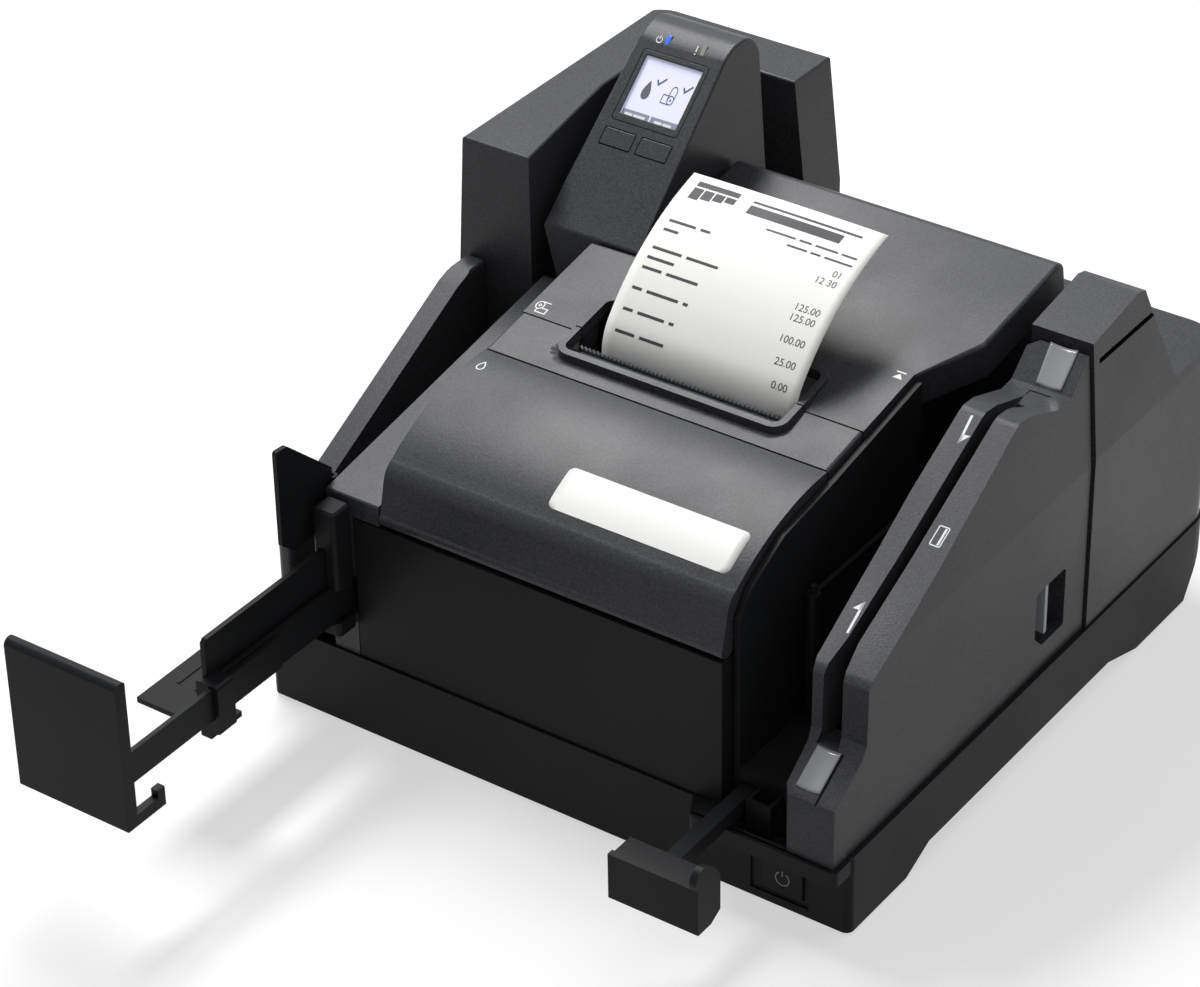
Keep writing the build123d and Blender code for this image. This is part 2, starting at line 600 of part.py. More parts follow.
FEED_MODULE, PLATEN_TEETH, FEED_TEETH = 0.8, 18, 30
GEAR_X = -51.2
FEED_GEAR_Z = PLATEN_Z - FEED_MODULE * (PLATEN_TEETH + FEED_TEETH) / 2


def gear_plane(y, z):
    """Plane of the gear train with its origin on a gear's axis."""
    plane = side(GEAR_X)
    return plane.shift_origin(plane.from_local_coords(Vector(y, z, 0)))


with BuildPart() as platen_gear:
    with BuildSketch(gear_plane(PLATEN_Y, PLATEN_Z)):
        gear_outline(PLATEN_TEETH, FEED_MODULE, -90.0)
        Circle(1.5, mode=Mode.SUBTRACT)
    extrude(amount=4.0)
platen_gear.part.label = "platen_gear"
export_step(platen_gear.part, "parts/platen_gear.step")

with BuildPart() as feed_gear:
    with BuildSketch(gear_plane(PLATEN_Y, FEED_GEAR_Z)):
        gear_outline(FEED_TEETH, FEED_MODULE, 90.0 + 180.0 / FEED_TEETH)
    extrude(amount=4.0)
    with BuildSketch(side(-60.6)):
        with Locations((PLATEN_Y, FEED_GEAR_Z)):
            Circle(1.5)
    extrude(amount=14.0)
feed_gear.part.label = "feed_gear"
export_step(feed_gear.part, "parts/feed_gear.step")

with BuildPart() as feed_motor:
    with BuildSketch(side(-61.8)):
        with Locations((PLATEN_Y, FEED_GEAR_Z)):
            RectangleRounded(26, 20, 4)
            Circle(1.5 + FIT, mode=Mode.SUBTRACT)
    extrude(amount=10)
feed_motor.part.label = "feed_motor"
export_step(feed_motor.part, "parts/feed_motor.step")

with BuildPart() as thermal_head:
    box(PAPER_LEFT - 3, PAPER_RIGHT + 1, 80.6, 84.5, 113.5, 121.8)
    box(PAPER_LEFT - 3, PAPER_RIGHT + 1, 80.6, 82.4, 121.6, 125.6)
    for fin in range(8):
        fin_x = PAPER_LEFT + fin * 10.6
        box(fin_x, fin_x + 2, 74.0, 80.8, 114.5, 125.0)
thermal_head.part.label = "thermal_head"
export_step(thermal_head.part, "parts/thermal_head.step")

TOOTH_PITCH, BLADE_LEFT, BLADE_RIGHT = 1.7, -42.2, 43.0
with BuildPart() as cutter_blade:
    with BuildSketch(front(82.2)):
        with BuildLine():
            teeth_count = int((BLADE_RIGHT - BLADE_LEFT) / TOOTH_PITCH)
            tips = []
            for tooth in range(teeth_count):
                start = BLADE_LEFT + tooth * TOOTH_PITCH
                tips += [(start, 130.0), (start + TOOTH_PITCH / 2, 131.1)]
            last = BLADE_LEFT + teeth_count * TOOTH_PITCH
            Polyline(*tips, (last, 130.0), (last, 126.6), (BLADE_LEFT, 126.6), close=True)
        make_face()
    extrude(amount=1.0)
    box(PAPER_LEFT - 7.2, PAPER_RIGHT + 6, 66.4, 82.2, 126.0, 127.0)
cutter_blade.part.label = "cutter_blade"
export_step(cutter_blade.part, "parts/cutter_blade.step")

with BuildPart() as paper_roll:
    with BuildSketch(side(PAPER_LEFT)):
        with Locations((PAPER_ROLL_Y, PAPER_ROLL_Z)):
            Circle(PAPER_ROLL_R)
            Circle(9.0, mode=Mode.SUBTRACT)
    extrude(amount=PAPER_RIGHT - PAPER_LEFT)
paper_roll.part.label = "paper_roll"
export_step(paper_roll.part, "parts/paper_roll.step")

with BuildPart() as paper_core:
    with BuildSketch(side(PAPER_LEFT)):
        with Locations((PAPER_ROLL_Y, PAPER_ROLL_Z)):
            Circle(9.0)
            Circle(6.3, mode=Mode.SUBTRACT)
    extrude(amount=PAPER_RIGHT - PAPER_LEFT)
paper_core.part.label = "paper_core"
export_step(paper_core.part, "parts/paper_core.step")

STRIP_RISE = [(85.1, 119.0), (85.1, 128.5)]  # straight up past the head, then two bends backwards
STRIP_BENDS = [(19.4, 40.0), (97.7, 37.0)]  # radius and turn of each bend
STRIP_THICKNESS = 0.2
with BuildPart() as receipt_strip:
    with BuildSketch(side(PAPER_LEFT)):
        with BuildLine():
            ends = []
            for offset_y in (-STRIP_THICKNESS / 2, STRIP_THICKNESS / 2):
                run = Line(*[(y + offset_y, z) for y, z in STRIP_RISE])
                for bend_radius, bend_turn in STRIP_BENDS:
                    run = JernArc(run @ 1, run % 1, bend_radius - offset_y, -bend_turn)
                ends.append(run @ 1)
            Line(*ends)
            foot_y, foot_z = STRIP_RISE[0]
            Line((foot_y - STRIP_THICKNESS / 2, foot_z), (foot_y + STRIP_THICKNESS / 2, foot_z))
        make_face()
    extrude(amount=PAPER_RIGHT - PAPER_LEFT)
receipt_strip.part.label = "receipt_strip"
export_step(receipt_strip.part, "parts/receipt_strip.step")

with BuildPart() as ink_cartridge:
    box(-44, 22, 16, 58, 62, 101)
    box(-38, -6, 20, 54, 100, 106)
    box(22, 30, 24, 50, 66, 92)
    chamfer(ink_cartridge.edges().filter_by(Axis.Z), length=0.8)
ink_cartridge.part.label = "ink_cartridge"
export_step(ink_cartridge.part, "parts/ink_cartridge.step")

# ================================================================ paper path
def path_line(reach):
    """Inner side of the paper path, moved inwards by the reach: right side, turns, left side."""
    radius = PATH_IN - reach
    entry = Line((72.2 - reach, 120.4), (TURN_RIGHT + radius, 146.4))
    right = Line(entry @ 1, (TURN_RIGHT + radius, TURN_Y))
    turn = ThreePointArc(
        right @ 1,
        (TURN_RIGHT + radius * cos(pi / 4), TURN_Y + radius * sin(pi / 4)),
        (TURN_RIGHT, TURN_Y + radius),
    )
    back = Line(turn @ 1, (TURN_LEFT, TURN_Y + radius))
    second = ThreePointArc(
        back @ 1,
        (TURN_LEFT - radius * cos(pi / 4), TURN_Y + radius * sin(pi / 4)),
        (TURN_LEFT - radius, TURN_Y),
    )
    left = Line(second @ 1, (-92.0 + reach, 131.0))
    return entry @ 0, left @ 1


with BuildPart() as path_guide:
    with BuildSketch(level(FLOOR_Z - 3.0)):
        with BuildLine():
            start_a, end_a = path_line(0.0)
            start_b, end_b = path_line(WALL)
            Line(start_a, start_b)
            Line(end_a, end_b)
        make_face()
    extrude(amount=61.0)
    # floor of the path, a narrow ledge along the guide
    with BuildSketch(level(FLOOR_Z - 3.0)):
        with BuildLine():
            start_a, end_a = path_line(-3.4)
            start_b, end_b = path_line(0.4)
            Line(start_a, start_b)
            Line(end_a, end_b)
        make_face()
    extrude(amount=3.0)
    box(66, 100, 110, 123.0, 30, 120, Mode.SUBTRACT)
    # windows of the drive rollers
    box(76, 90, 137.6, 157.4, 50, 82, Mode.SUBTRACT)
    box(86, 90, 165.4, 176.6, 45.4, 101, Mode.SUBTRACT)
    box(86, 90, 182.6, 190.4, 46.4, 65.6, Mode.SUBTRACT)
    for window_x in (30.0, -40.0):
        box(window_x - 8, window_x + 8, TURN_Y + 21, TURN_Y + 26.4, 50, 82, Mode.SUBTRACT)
    # feet on the base
    for foot_x, foot_y in ((86.4, 170.0), (64.0, 222.6), (-72.0, 222.6), (-98.6, 190.0)):
        box(foot_x - 2.4, foot_x + 2.4, foot_y - 1.2, foot_y + 1.2, LOWER_Z, FLOOR_Z)
path_guide.part.label = "path_guide"
export_step(path_guide.part, "parts/path_guide.step")

ENTRY_FLOOR = [
    (71.6, 7.0), (98.6, 7.0), (97.3, 15.5), (95.8, 47), (94.7, 75), (94.7, 108), (94.1, 118), (71.6, 118),
]
with BuildPart() as entry_pocket:
    with BuildSketch(level(LOWER_Z)):
        profile(ENTRY_FLOOR)
    extrude(amount=FLOOR_Z - LOWER_Z)
    with BuildSketch(level(20)):
        profile([(74.0, 9.4), (96.0, 9.4), (94.6, 17), (93.4, 47), (92.3, 75), (92.3, 115.6), (74.0, 115.6)])
    extrude(amount=FLOOR_Z - 20 - WALL, mode=Mode.SUBTRACT)
    # slot of the sliding support
    box(74.4, 80.9, 0, 12, 20, 39.4, Mode.SUBTRACT)
    # inner wall beside the printer, following its covers
    with BuildSketch(side(71.6)):
        profile(
            [(7, FLOOR_Z - 1), (7, 104), (14, 113), (33, 122.6), (64, 127), (118, 137), (118, FLOOR_Z - 1)]
        )
    extrude(amount=WALL)
    # U-shaped post in front of the floor block
    with BuildSketch(level(LIP_Z + 2.0)):
        with Locations((86.5, 3.2)):
            Rectangle(9.9, 8.6)
        with Locations((86.5, 4.2)):
            Rectangle(6.9, 7.6, mode=Mode.SUBTRACT)
    extrude(amount=40.0 - LIP_Z - 2.0)
    with BuildSketch(front(5.0)):
        profile([(91.2, LIP_Z + 2), (91.2, 38.5), (95.4, 31.0), (95.4, LIP_Z + 2)])
    extrude(amount=1.6)
    with BuildSketch(front(7.4)):
        profile([(91.2, LIP_Z + 2), (91.2, 38.5), (95.4, 31.0), (95.4, LIP_Z + 2)])
    extrude(amount=4.0)
    # pin of the pressure plate
    with BuildSketch(level(FLOOR_Z - 1)):
        with Locations((77.4, 46)):
            Circle(1.2)
    extrude(amount=54)
entry_pocket.part.label = "entry_pocket"
export_step(entry_pocket.part, "parts/entry_pocket.step")

with BuildPart() as pressure_plate:
    box(76.5, 78.3, 46, 106, 46, 94)
    with BuildSketch(level(46)):
        with Locations((77.4, 46)):
            Circle(2.4)
    extrude(amount=48)
    with BuildSketch(level(40)):
        with Locations((77.4, 46)):
            Circle(1.2 + FIT)
    extrude(amount=70, mode=Mode.SUBTRACT)
pressure_plate.part.label = "pressure_plate"
export_step(pressure_plate.part, "parts/pressure_plate.step")

with BuildPart() as entry_tray:
    with BuildSketch(side(64.0)):
        with BuildLine():
            Polyline(
                (-42.2, 41.4), (-42.2, FLOOR_Z - 0.4), (-52.4, FLOOR_Z - 0.4), (-52.4, 45), (-55, 45),
                (-55, 27), (-52.8, 27), (-52.8, 41.4), close=True,
            )
        make_face()
    extrude(amount=35.2)
    with BuildSketch(side(96.6)):
        with BuildLine():
            heel = Polyline((-55, 45), (-55, 27), (-47.6, 27), (-42.2, 29.9), (-42.2, 43.5))
            rise = ThreePointArc(heel @ 1, (-44.6, 47.8), (-48.5, 51.2))
            ThreePointArc(rise @ 1, (-52.3, 52.5), heel @ 0)
        make_face()
    extrude(amount=2.6)
    # arm that slides under the pocket's floor
    box(74.8, 80.5, -54, 66, 33.0, 38.8)
    box(74.8, 80.5, -54, -44, 38, 42)
entry_tray.part.label = "entry_tray"
export_step(entry_tray.part, "parts/entry_tray.step")

# ---------------------------------------------------------------- path drive
ROLLER_SPOTS = {
    "feed_roller": (81.2, 147.5, 8.9),
    "rear_roller_right": (30.0, 215.0, 9.3),
    "rear_roller_left": (-40.0, 215.0, 9.3),
    "exit_roller": (-84.0, 117.5, 8.6),
}
PULLEY_R, PULLEY_FLATS, BELT_LOW, BELT_HIGH = 6.0, 18, 34.4, 38.2
DRIVE_SPOT = (0.0, 100.0)

for roller_name, (roller_x, roller_y, roller_r) in ROLLER_SPOTS.items():
    with BuildPart() as roller:
        for bottom, top, radius in ((LOWER_Z, 97.0, 2.0), (52.0, 80.0, roller_r)):
            with BuildSketch(level(bottom)):
                with Locations((roller_x, roller_y)):
                    Circle(radius)
            extrude(amount=top - bottom)
        with BuildSketch(level(BELT_LOW - 0.6)):
            with Locations((roller_x, roller_y)):
                RegularPolygon(PULLEY_R, PULLEY_FLATS)
        extrude(amount=BELT_HIGH - BELT_LOW + 1.2)
    roller.part.label = roller_name
    export_step(roller.part, f"parts/{roller_name}.step")

with BuildPart() as drive_pulley:
    with BuildSketch(level(BELT_LOW - 0.6)):
        with Locations(DRIVE_SPOT):
            RegularPolygon(PULLEY_R, PULLEY_FLATS)
    extrude(amount=BELT_HIGH - BELT_LOW + 1.2)
    with BuildSketch(level(28)):
        with Locations(DRIVE_SPOT):
            Circle(1.5)
    extrude(amount=8)
drive_pulley.part.label = "drive_pulley"
export_step(drive_pulley.part, "parts/drive_pulley.step")

with BuildPart() as drive_motor:
    with BuildSketch(level(11.8)):
        with Locations(DRIVE_SPOT):
            Rectangle(35, 35)
    extrude(amount=20)
    chamfer(drive_motor.edges().filter_by(Axis.Z), length=3.0)
    with BuildSketch(level(24)):
        with Locations(DRIVE_SPOT):
            Circle(1.5 + FIT)
    extrude(amount=10, mode=Mode.SUBTRACT)
drive_motor.part.label = "drive_motor"
export_step(drive_motor.part, "parts/drive_motor.step")


def pulley_hull(radius):
    """Loop around all five pulleys."""
    for x, y in [spot[:2] for spot in ROLLER_SPOTS.values()] + [DRIVE_SPOT]:
        with Locations((x, y)):
            Circle(radius)
    make_hull()


with BuildPart() as drive_belt:
    with BuildSketch(level(BELT_LOW)):
        pulley_hull(PULLEY_R + 1.3)
    extrude(amount=BELT_HIGH - BELT_LOW)
    with BuildSketch(level(BELT_LOW - 1)):
        pulley_hull(PULLEY_R + 0.35)
    extrude(amount=BELT_HIGH - BELT_LOW + 2, mode=Mode.SUBTRACT)
drive_belt.part.label = "drive_belt"
export_step(drive_belt.part, "parts/drive_belt.step")

with BuildPart() as inner_scan_bar:
    box(78.4, 86.8, 164, 178, 45, 104)
    box(86.6, 89.2, 166, 176, 46, 100)
inner_scan_bar.part.label = "inner_scan_bar"
export_step(inner_scan_bar.part, "parts/inner_scan_bar.step")

with BuildPart() as outer_scan_bar:
    box(97.8, 104.0, 165, 179, 45, 100)
    box(94.0, 98.0, 167, 177, 47, 98)
outer_scan_bar.part.label = "outer_scan_bar"
export_step(outer_scan_bar.part, "parts/outer_scan_bar.step")

with BuildPart() as magnetic_head:
    box(79.4, 86.8, 181, 192, 45, 67)
    box(86.6, 89.3, 183, 190, 47, 65)
magnetic_head.part.label = "magnetic_head"
export_step(magnetic_head.part, "parts/magnetic_head.step")

# ================================================================ swipe cover on the right
TOWER_PLAN = [
    (102.3, TOWER_FRONT), (TOWER_RIGHT, TOWER_FRONT), (TOWER_RIGHT, TOWER_BACK), (98.0, TOWER_BACK),
    (94.2, 152.6), (95.5, 108), (95.5, 75), (96.6, 47), (98.2, 15.5), (99.4, 9), (100.2, -5),
]
TOWER_SIDE = [
    (TOWER_FRONT, LOWER_Z), (TOWER_FRONT, 55.6), (-5.5, 57.2), (8.4, 65.7), (11.4, 69.9), (12.0, 91.6),
    (14.2, 94.6), (55, 113.6), (106.1, 139.9), (109, 140.8), (116, 139.9), (135.4, 132.7), (142.7, 133.1),
    (155.8, 143.7), (155.8, LOWER_Z),
]
PINCH_SPOT = (96.2, 146.5)
SLOT_FLOOR = [(11.0, 68.6), (130.0, 131.2), (144.0, 176.0), (11.0, 176.0)]

with BuildPart() as swipe_cover:
    with BuildSketch(level(LOWER_Z)):
        profile(TOWER_PLAN)
    extrude(amount=120)
    with BuildSketch(side(80)):
        profile(TOWER_SIDE)
    extrude(amount=60, mode=Mode.INTERSECT)
    # the outer wall leans in above the middle
    with BuildSketch(front(200)):
        profile([(TOWER_RIGHT, 100), (TOWER_RIGHT - 4.1, 155), (140, 155), (140, 100)])
    extrude(amount=260, mode=Mode.SUBTRACT)
    # hollow behind the walls, under the swipe slot
    with BuildSketch(side(101.4)):
        profile([(3, 20), (3, 56.5), (10, 60.5), (14, 63.5), (128, 123.6), (152.5, 126.6), (152.5, 20)])
    extrude(amount=16.2, mode=Mode.SUBTRACT)
    # swipe slot, its flared mouth and the guide groove of the front ramp
    with BuildSketch(side(SLOT_LEFT)):
        profile(SLOT_FLOOR)
    extrude(amount=SLOT_RIGHT - SLOT_LEFT, mode=Mode.SUBTRACT)
    with BuildSketch(level(66)):
        profile([(102.6, 8), (111.0, 8), (SLOT_RIGHT, 24), (SLOT_LEFT, 24)])
    extrude(amount=90, mode=Mode.SUBTRACT)
    with BuildSketch(side(112.6)):
        profile([(-9, 54.0), (8.4, 64.6), (8.4, 90), (-9, 90)])
    extrude(amount=1.0, mode=Mode.SUBTRACT)
    # lead-out at the back of the slot
    with BuildSketch(level(132.6)):
        profile([(SLOT_LEFT, 118), (SLOT_RIGHT, 118), (111.6, 132), (111.6, 140), (103.2, 140), (103.2, 132)])
    extrude(amount=40, mode=Mode.SUBTRACT)
    # recess of the release lever with its finger scoop
    with BuildSketch(side(114.4)):
        profile([(121, 47), (121, 66), (141, 66), (141, 42), (126, 42)], radius=1.5)
    extrude(amount=10, mode=Mode.SUBTRACT)
    with BuildSketch(side(112.0)):
        profile([(119.5, 40.4), (119.5, 67.6), (142.5, 67.6), (142.5, 40.4)])
    extrude(amount=2.4)
    with BuildSketch(side(111.0)):
        profile([(122.6, 49.4), (122.6, 60.6), (131.6, 60.6), (131.6, 49.4)])
    extrude(amount=5, mode=Mode.SUBTRACT)
    for lip_low, lip_high in ((66.0, 67.6), (40.4, 42.0)):
        box(113.9, 118.4, 119.5, 142.5, lip_low, lip_high)
    for lip_front, lip_back in ((119.5, 121.0), (141.0, 142.5)):
        box(113.9, 118.4, lip_front, lip_back, 40.4, 67.6)
    # windows for the pick roller and the pinch roller
    box(90, 102, 81, 103, 49, 81, Mode.SUBTRACT)
    box(90, 102, 140.6, 152.4, 49, 81, Mode.SUBTRACT)
    with BuildSketch(level(45.5)):
        with Locations(PINCH_SPOT):
            Circle(1.4 + FIT)
    extrude(amount=39, mode=Mode.SUBTRACT)
    # pocket of the card reader's head beside the slot
    box(108, 113, 61.8, 74.2, 102.8, 111.2, Mode.SUBTRACT)
    # bore of the hinge pin
    with BuildSketch(level(20)):
        with Locations((TOWER_HINGE_X, TOWER_HINGE_Y)):
            Circle(2.2 + FIT)
    extrude(amount=28, mode=Mode.SUBTRACT)
swipe_cover.part.label = "swipe_cover"
export_step(swipe_cover.part, "parts/swipe_cover.step")

with BuildPart() as pick_roller:
    with BuildSketch(level(50)):
        with Locations((104.4, 92)):
            Circle(9.8)
    extrude(amount=30)
    with BuildSketch(level(44)):
        with Locations((104.4, 92)):
            Circle(2.0)
    extrude(amount=42)
pick_roller.part.label = "pick_roller"
export_step(pick_roller.part, "parts/pick_roller.step")

with BuildPart() as pinch_roller:
    with BuildSketch(level(50)):
        with Locations(PINCH_SPOT):
            Circle(5.3)
    extrude(amount=30)
    with BuildSketch(level(46)):
        with Locations(PINCH_SPOT):
            Circle(1.4)
    extrude(amount=38)
pinch_roller.part.label = "pinch_roller"
export_step(pinch_roller.part, "parts/pinch_roller.step")

with BuildPart() as swipe_head:
    box(SLOT_RIGHT + 0.1, 112.6, 62, 74, 103, 111)
swipe_head.part.label = "swipe_head"
export_step(swipe_head.part, "parts/swipe_head.step")

with BuildPart() as release_lever:
    box(114.8, 119.4, 128.5, 130.3, 45, 65.4)
    box(107.0, 115.0, 128.5, 130.3, 50.2, 59.8)
    box(105.4, 107.2, 112, 150, 52.5, 57.5)
release_lever.part.label = "release_lever"
export_step(release_lever.part, "parts/release_lever.step")

# ================================================================ rear housings
with BuildPart() as rear_right_case:
    with BuildSketch(level(LOWER_Z)):
        with BuildLine():
            side_in = Line((93.8, REAR_FRONT), (TURN_RIGHT + PATH_OUT, TURN_Y))
            turn_in = ThreePointArc(
                side_in @ 1,
                (TURN_RIGHT + PATH_OUT * cos(pi / 4), TURN_Y + PATH_OUT * sin(pi / 4)),
                (TURN_RIGHT, TURN_Y + PATH_OUT),
            )
            back_in = Line(turn_in @ 1, (-42.0, TURN_Y + PATH_OUT))
            back_out = Polyline(back_in @ 1, (-42.0, 252.0), (106.0, 252.0))
            corner = RadiusArc(back_out @ 1, (121.2, 237.0), 15.2)
            Polyline(corner @ 1, (121.2, REAR_FRONT), side_in @ 0)
        make_face()
    extrude(amount=125)
    with BuildSketch(side(-50)):
        profile(
            [
                (150, 20), (150, 147.0), (156, 147.3), (188, 151.8), (192.6, 150.6), (213, 106.2), (262, 105),
                (262, 20),
            ]
        )
    extrude(amount=180, mode=Mode.INTERSECT)
    with BuildSketch(front(150)):
        profile([(-60, 20), (-60, 170), (115.9, 170), (121.2, 102), (121.2, 20)])
    extrude(amount=-120, mode=Mode.INTERSECT)
    # hollow from below
    with BuildSketch(level(20)):
        profile([(97.4, 160), (97.2, 198), (118.4, 198), (118.4, 160)])
    extrude(amount=120, mode=Mode.SUBTRACT)
    # window of the outer scan bar
    box(92, 98.4, 166.6, 177.4, 46.6, 98.4, Mode.SUBTRACT)
    with BuildSketch(level(20)):
        profile([(-39, 232), (-39, 249.2), (104, 249.2), (104, 232)])
    extrude(amount=82, mode=Mode.SUBTRACT)
rear_right_case.part.label = "rear_right_case"
export_step(rear_right_case.part, "parts/rear_right_case.step")

with BuildPart() as rear_left_case:
    with BuildSketch(level(LOWER_Z)):
        with BuildLine():
            lobe_in = Line((-96.0, 127.6), (TURN_LEFT - PATH_OUT, 188.0))
            side_in = Line(lobe_in @ 1, (TURN_LEFT - PATH_OUT, TURN_Y))
            turn_in = ThreePointArc(
                side_in @ 1,
                (TURN_LEFT - PATH_OUT * cos(pi / 4), TURN_Y + PATH_OUT * sin(pi / 4)),
                (TURN_LEFT, TURN_Y + PATH_OUT),
            )
            back_in = Line(turn_in @ 1, (-43.0, TURN_Y + PATH_OUT))
            back_out = Polyline(back_in @ 1, (-43.0, 252.0), (-116.0, 252.0))
            corner = RadiusArc(back_out @ 1, (-128.5, 239.5), -12.5)
            Polyline(corner @ 1, (-128.5, 127.6), lobe_in @ 0)
        make_face()
    extrude(amount=167.0 - LOWER_Z)
    with BuildSketch(front(120)):
        profile(
            [
                (-122.0, 20), (-128.5, 70), (-128.5, 114), (-125.2, 167), (-48.4, 167), (-43.0, 117),
                (-43.0, 20),
            ]
        )
    extrude(amount=-140, mode=Mode.INTERSECT)
    fillet(rear_left_case.faces().sort_by(Axis.Z)[-1].edges(), radius=1.0)
    # hollow from below
    with BuildSketch(level(20)):
        profile([(-119.4, 131), (-99.6, 131), (-109.6, 190), (-109.6, 236), (-119.4, 236)])
    extrude(amount=144, mode=Mode.SUBTRACT)
    with BuildSketch(level(20)):
        profile([(-104, 232), (-50, 232), (-50, 249.2), (-104, 249.2)])
    extrude(amount=144, mode=Mode.SUBTRACT)
rear_left_case.part.label = "rear_left_case"
export_step(rear_left_case.part, "parts/rear_left_case.step")

with BuildPart() as rear_connectors:
    box(-54, -40, BASE_D - 12, BASE_D - 2.5, 13, 26)
    box(-30, -14, BASE_D - 12, BASE_D - 2.5, 13, 26)
    box(-6, 8, BASE_D - 12, BASE_D - 2.5, 13, 24)
    box(16, 30, BASE_D - 12, BASE_D - 2.5, 13, 20)
rear_connectors.part.label = "rear_connectors"
export_step(rear_connectors.part, "parts/rear_connectors.step")

with BuildPart() as logic_board:
    box(-36, 36, 126, 232, 12.2, 13.8)
    for chip_x, chip_y, chip_w in ((-20, 150, 16), (14, 160, 10), (-32, 190, 12), (18, 205, 14)):
        box(chip_x, chip_x + chip_w, chip_y, chip_y + chip_w, 13.8, 15.6)
logic_board.part.label = "logic_board"
export_step(logic_board.part, "parts/logic_board.step")

# ================================================================ display tower
with BuildPart() as display_tower:
    with BuildSketch(side(DISPLAY_LEFT)):
        with BuildLine():
            foot = Line((DISPLAY_Y, 112), (DISPLAY_Y, DISPLAY_Z))
            slope = Line(foot @ 1, (187.6, DISPLAY_Z + 57.6 * tan(FACE_ANGLE)))
            brow = ThreePointArc(slope @ 1, (192.6, 193.8), (199.0, 194.8))
            cap = ThreePointArc(brow @ 1, (206.6, 192.6), (210.6, 185.0))
            Polyline(cap @ 1, (213.0, 120), (213.0, 108), (184, 108), (184, 112), foot @ 0)
        make_face()
    extrude(amount=DISPLAY_RIGHT - DISPLAY_LEFT)
    # the sides draw in towards the top
    with BuildSketch(front(120)):
        profile([(-91.5, 100), (-91.5, 151), (-88.9, 205), (-53.0, 205), (-50.5, 141), (-50.5, 100)])
    extrude(amount=-110, mode=Mode.INTERSECT)
    # three-cornered scoop at the left of the foot
    with BuildSketch(front(100)):
        profile([(-95, 116), (-95, 153), (-85.5, 116)])
    extrude(amount=-42, mode=Mode.SUBTRACT)
    # seat of the display and its bezel
    with BuildSketch(display_face):
        with Locations((-71.2, along_face(174.4))):
            RectangleRounded(28.6, 29.0, 1.5)
    extrude(amount=-1.0, mode=Mode.SUBTRACT)
    with BuildSketch(display_face):
        with Locations((-71.2, along_face(174.4))):
            Rectangle(26.4, 26.0)
    extrude(amount=-5.0, mode=Mode.SUBTRACT)
    # holes of the two keys
    for key_x in (-79.0, -63.4):
        with BuildSketch(display_face):
            with Locations((key_x, along_face(158.4))):
                RectangleRounded(13.6, 7.4, 0.8)
        extrude(amount=-6.0, mode=Mode.SUBTRACT)
    # holes of the status lights
    for light_x in (-77.7, -62.7):
        with BuildSketch(display_face):
            with Locations((light_x, along_face(189.4))):
                Rectangle(1.8, 4.2)
        extrude(amount=-4.0, mode=Mode.SUBTRACT)
    # hollow from below
    with BuildSketch(side(DISPLAY_LEFT + 9.4)):
        profile([(134, 100), (134, 134), (192, 183), (206, 183), (208, 100)])
    extrude(amount=DISPLAY_RIGHT - DISPLAY_LEFT - 12.4, mode=Mode.SUBTRACT)
    # foot down to the base, behind the shoulder
    box(DISPLAY_LEFT + 3, -70.0, DISPLAY_Y + 3, DISPLAY_Y + 5.4, 42, 134)
    box(-80.0, -70.0, DISPLAY_Y + 3, DISPLAY_Y + 5.4, LOWER_Z, 43)
    box(-86.0, -70.0, 205.0, 208.0, LOWER_Z, 112)
display_tower.part.label = "display_tower"
export_step(display_tower.part, "parts/display_tower.step")

with BuildPart() as display_bezel:
    with BuildSketch(display_face.offset(-0.9)):
        with Locations((-71.2, along_face(174.4))):
            RectangleRounded(28.3, 28.7, 1.4)
            with Locations((0, 0.4)):
                Rectangle(24.4, 23.6, mode=Mode.SUBTRACT)
    extrude(amount=0.9)
display_bezel.part.label = "display_bezel"
export_step(display_bezel.part, "parts/display_bezel.step")

with BuildPart() as display_screen:
    with BuildSketch(display_face.offset(-4.6)):
        with Locations((-71.2, along_face(174.4))):
            Rectangle(26.0, 25.6)
    extrude(amount=3.4)
display_screen.part.label = "display_screen"
export_step(display_screen.part, "parts/display_screen.step")

with BuildPart() as left_key:
    with BuildSketch(display_face.offset(-3.4)):
        with Locations((-79.0, along_face(158.4))):
            RectangleRounded(13.0, 6.8, 0.6)
    extrude(amount=3.52)
left_key.part.label = "left_key"
export_step(left_key.part, "parts/left_key.step")

with BuildPart() as right_key:
    with BuildSketch(display_face.offset(-3.4)):
        with Locations((-63.4, along_face(158.4))):
            RectangleRounded(13.0, 6.8, 0.6)
    extrude(amount=3.52)
right_key.part.label = "right_key"
export_step(right_key.part, "parts/right_key.step")

with BuildPart() as status_lights:
    for light_x in (-77.7, -62.7):
        with BuildSketch(display_face.offset(-3.6)):
            with Locations((light_x, along_face(189.4))):
                Rectangle(1.6, 4.0)
        extrude(amount=3.55)
status_lights.part.label = "status_lights"
export_step(status_lights.part, "parts/status_lights.step")
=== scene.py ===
"""Looks of the desktop cheque scanner: its finishes, softened edges, prints and lights.

Every length is in millimetres in the machine's own datum until `at` turns it into metres in
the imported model's frame: width from the middle of the base, depth from the front face of the
base and height from the underside of the base.
"""

import json
import logging
from dataclasses import dataclass, field
from enum import Enum
from math import atan, cos, pi, radians, sin, tan
from typing import Callable, Iterable, Optional, Sequence

import bmesh
import bpy
import numpy as np
from mathutils import Matrix, Vector


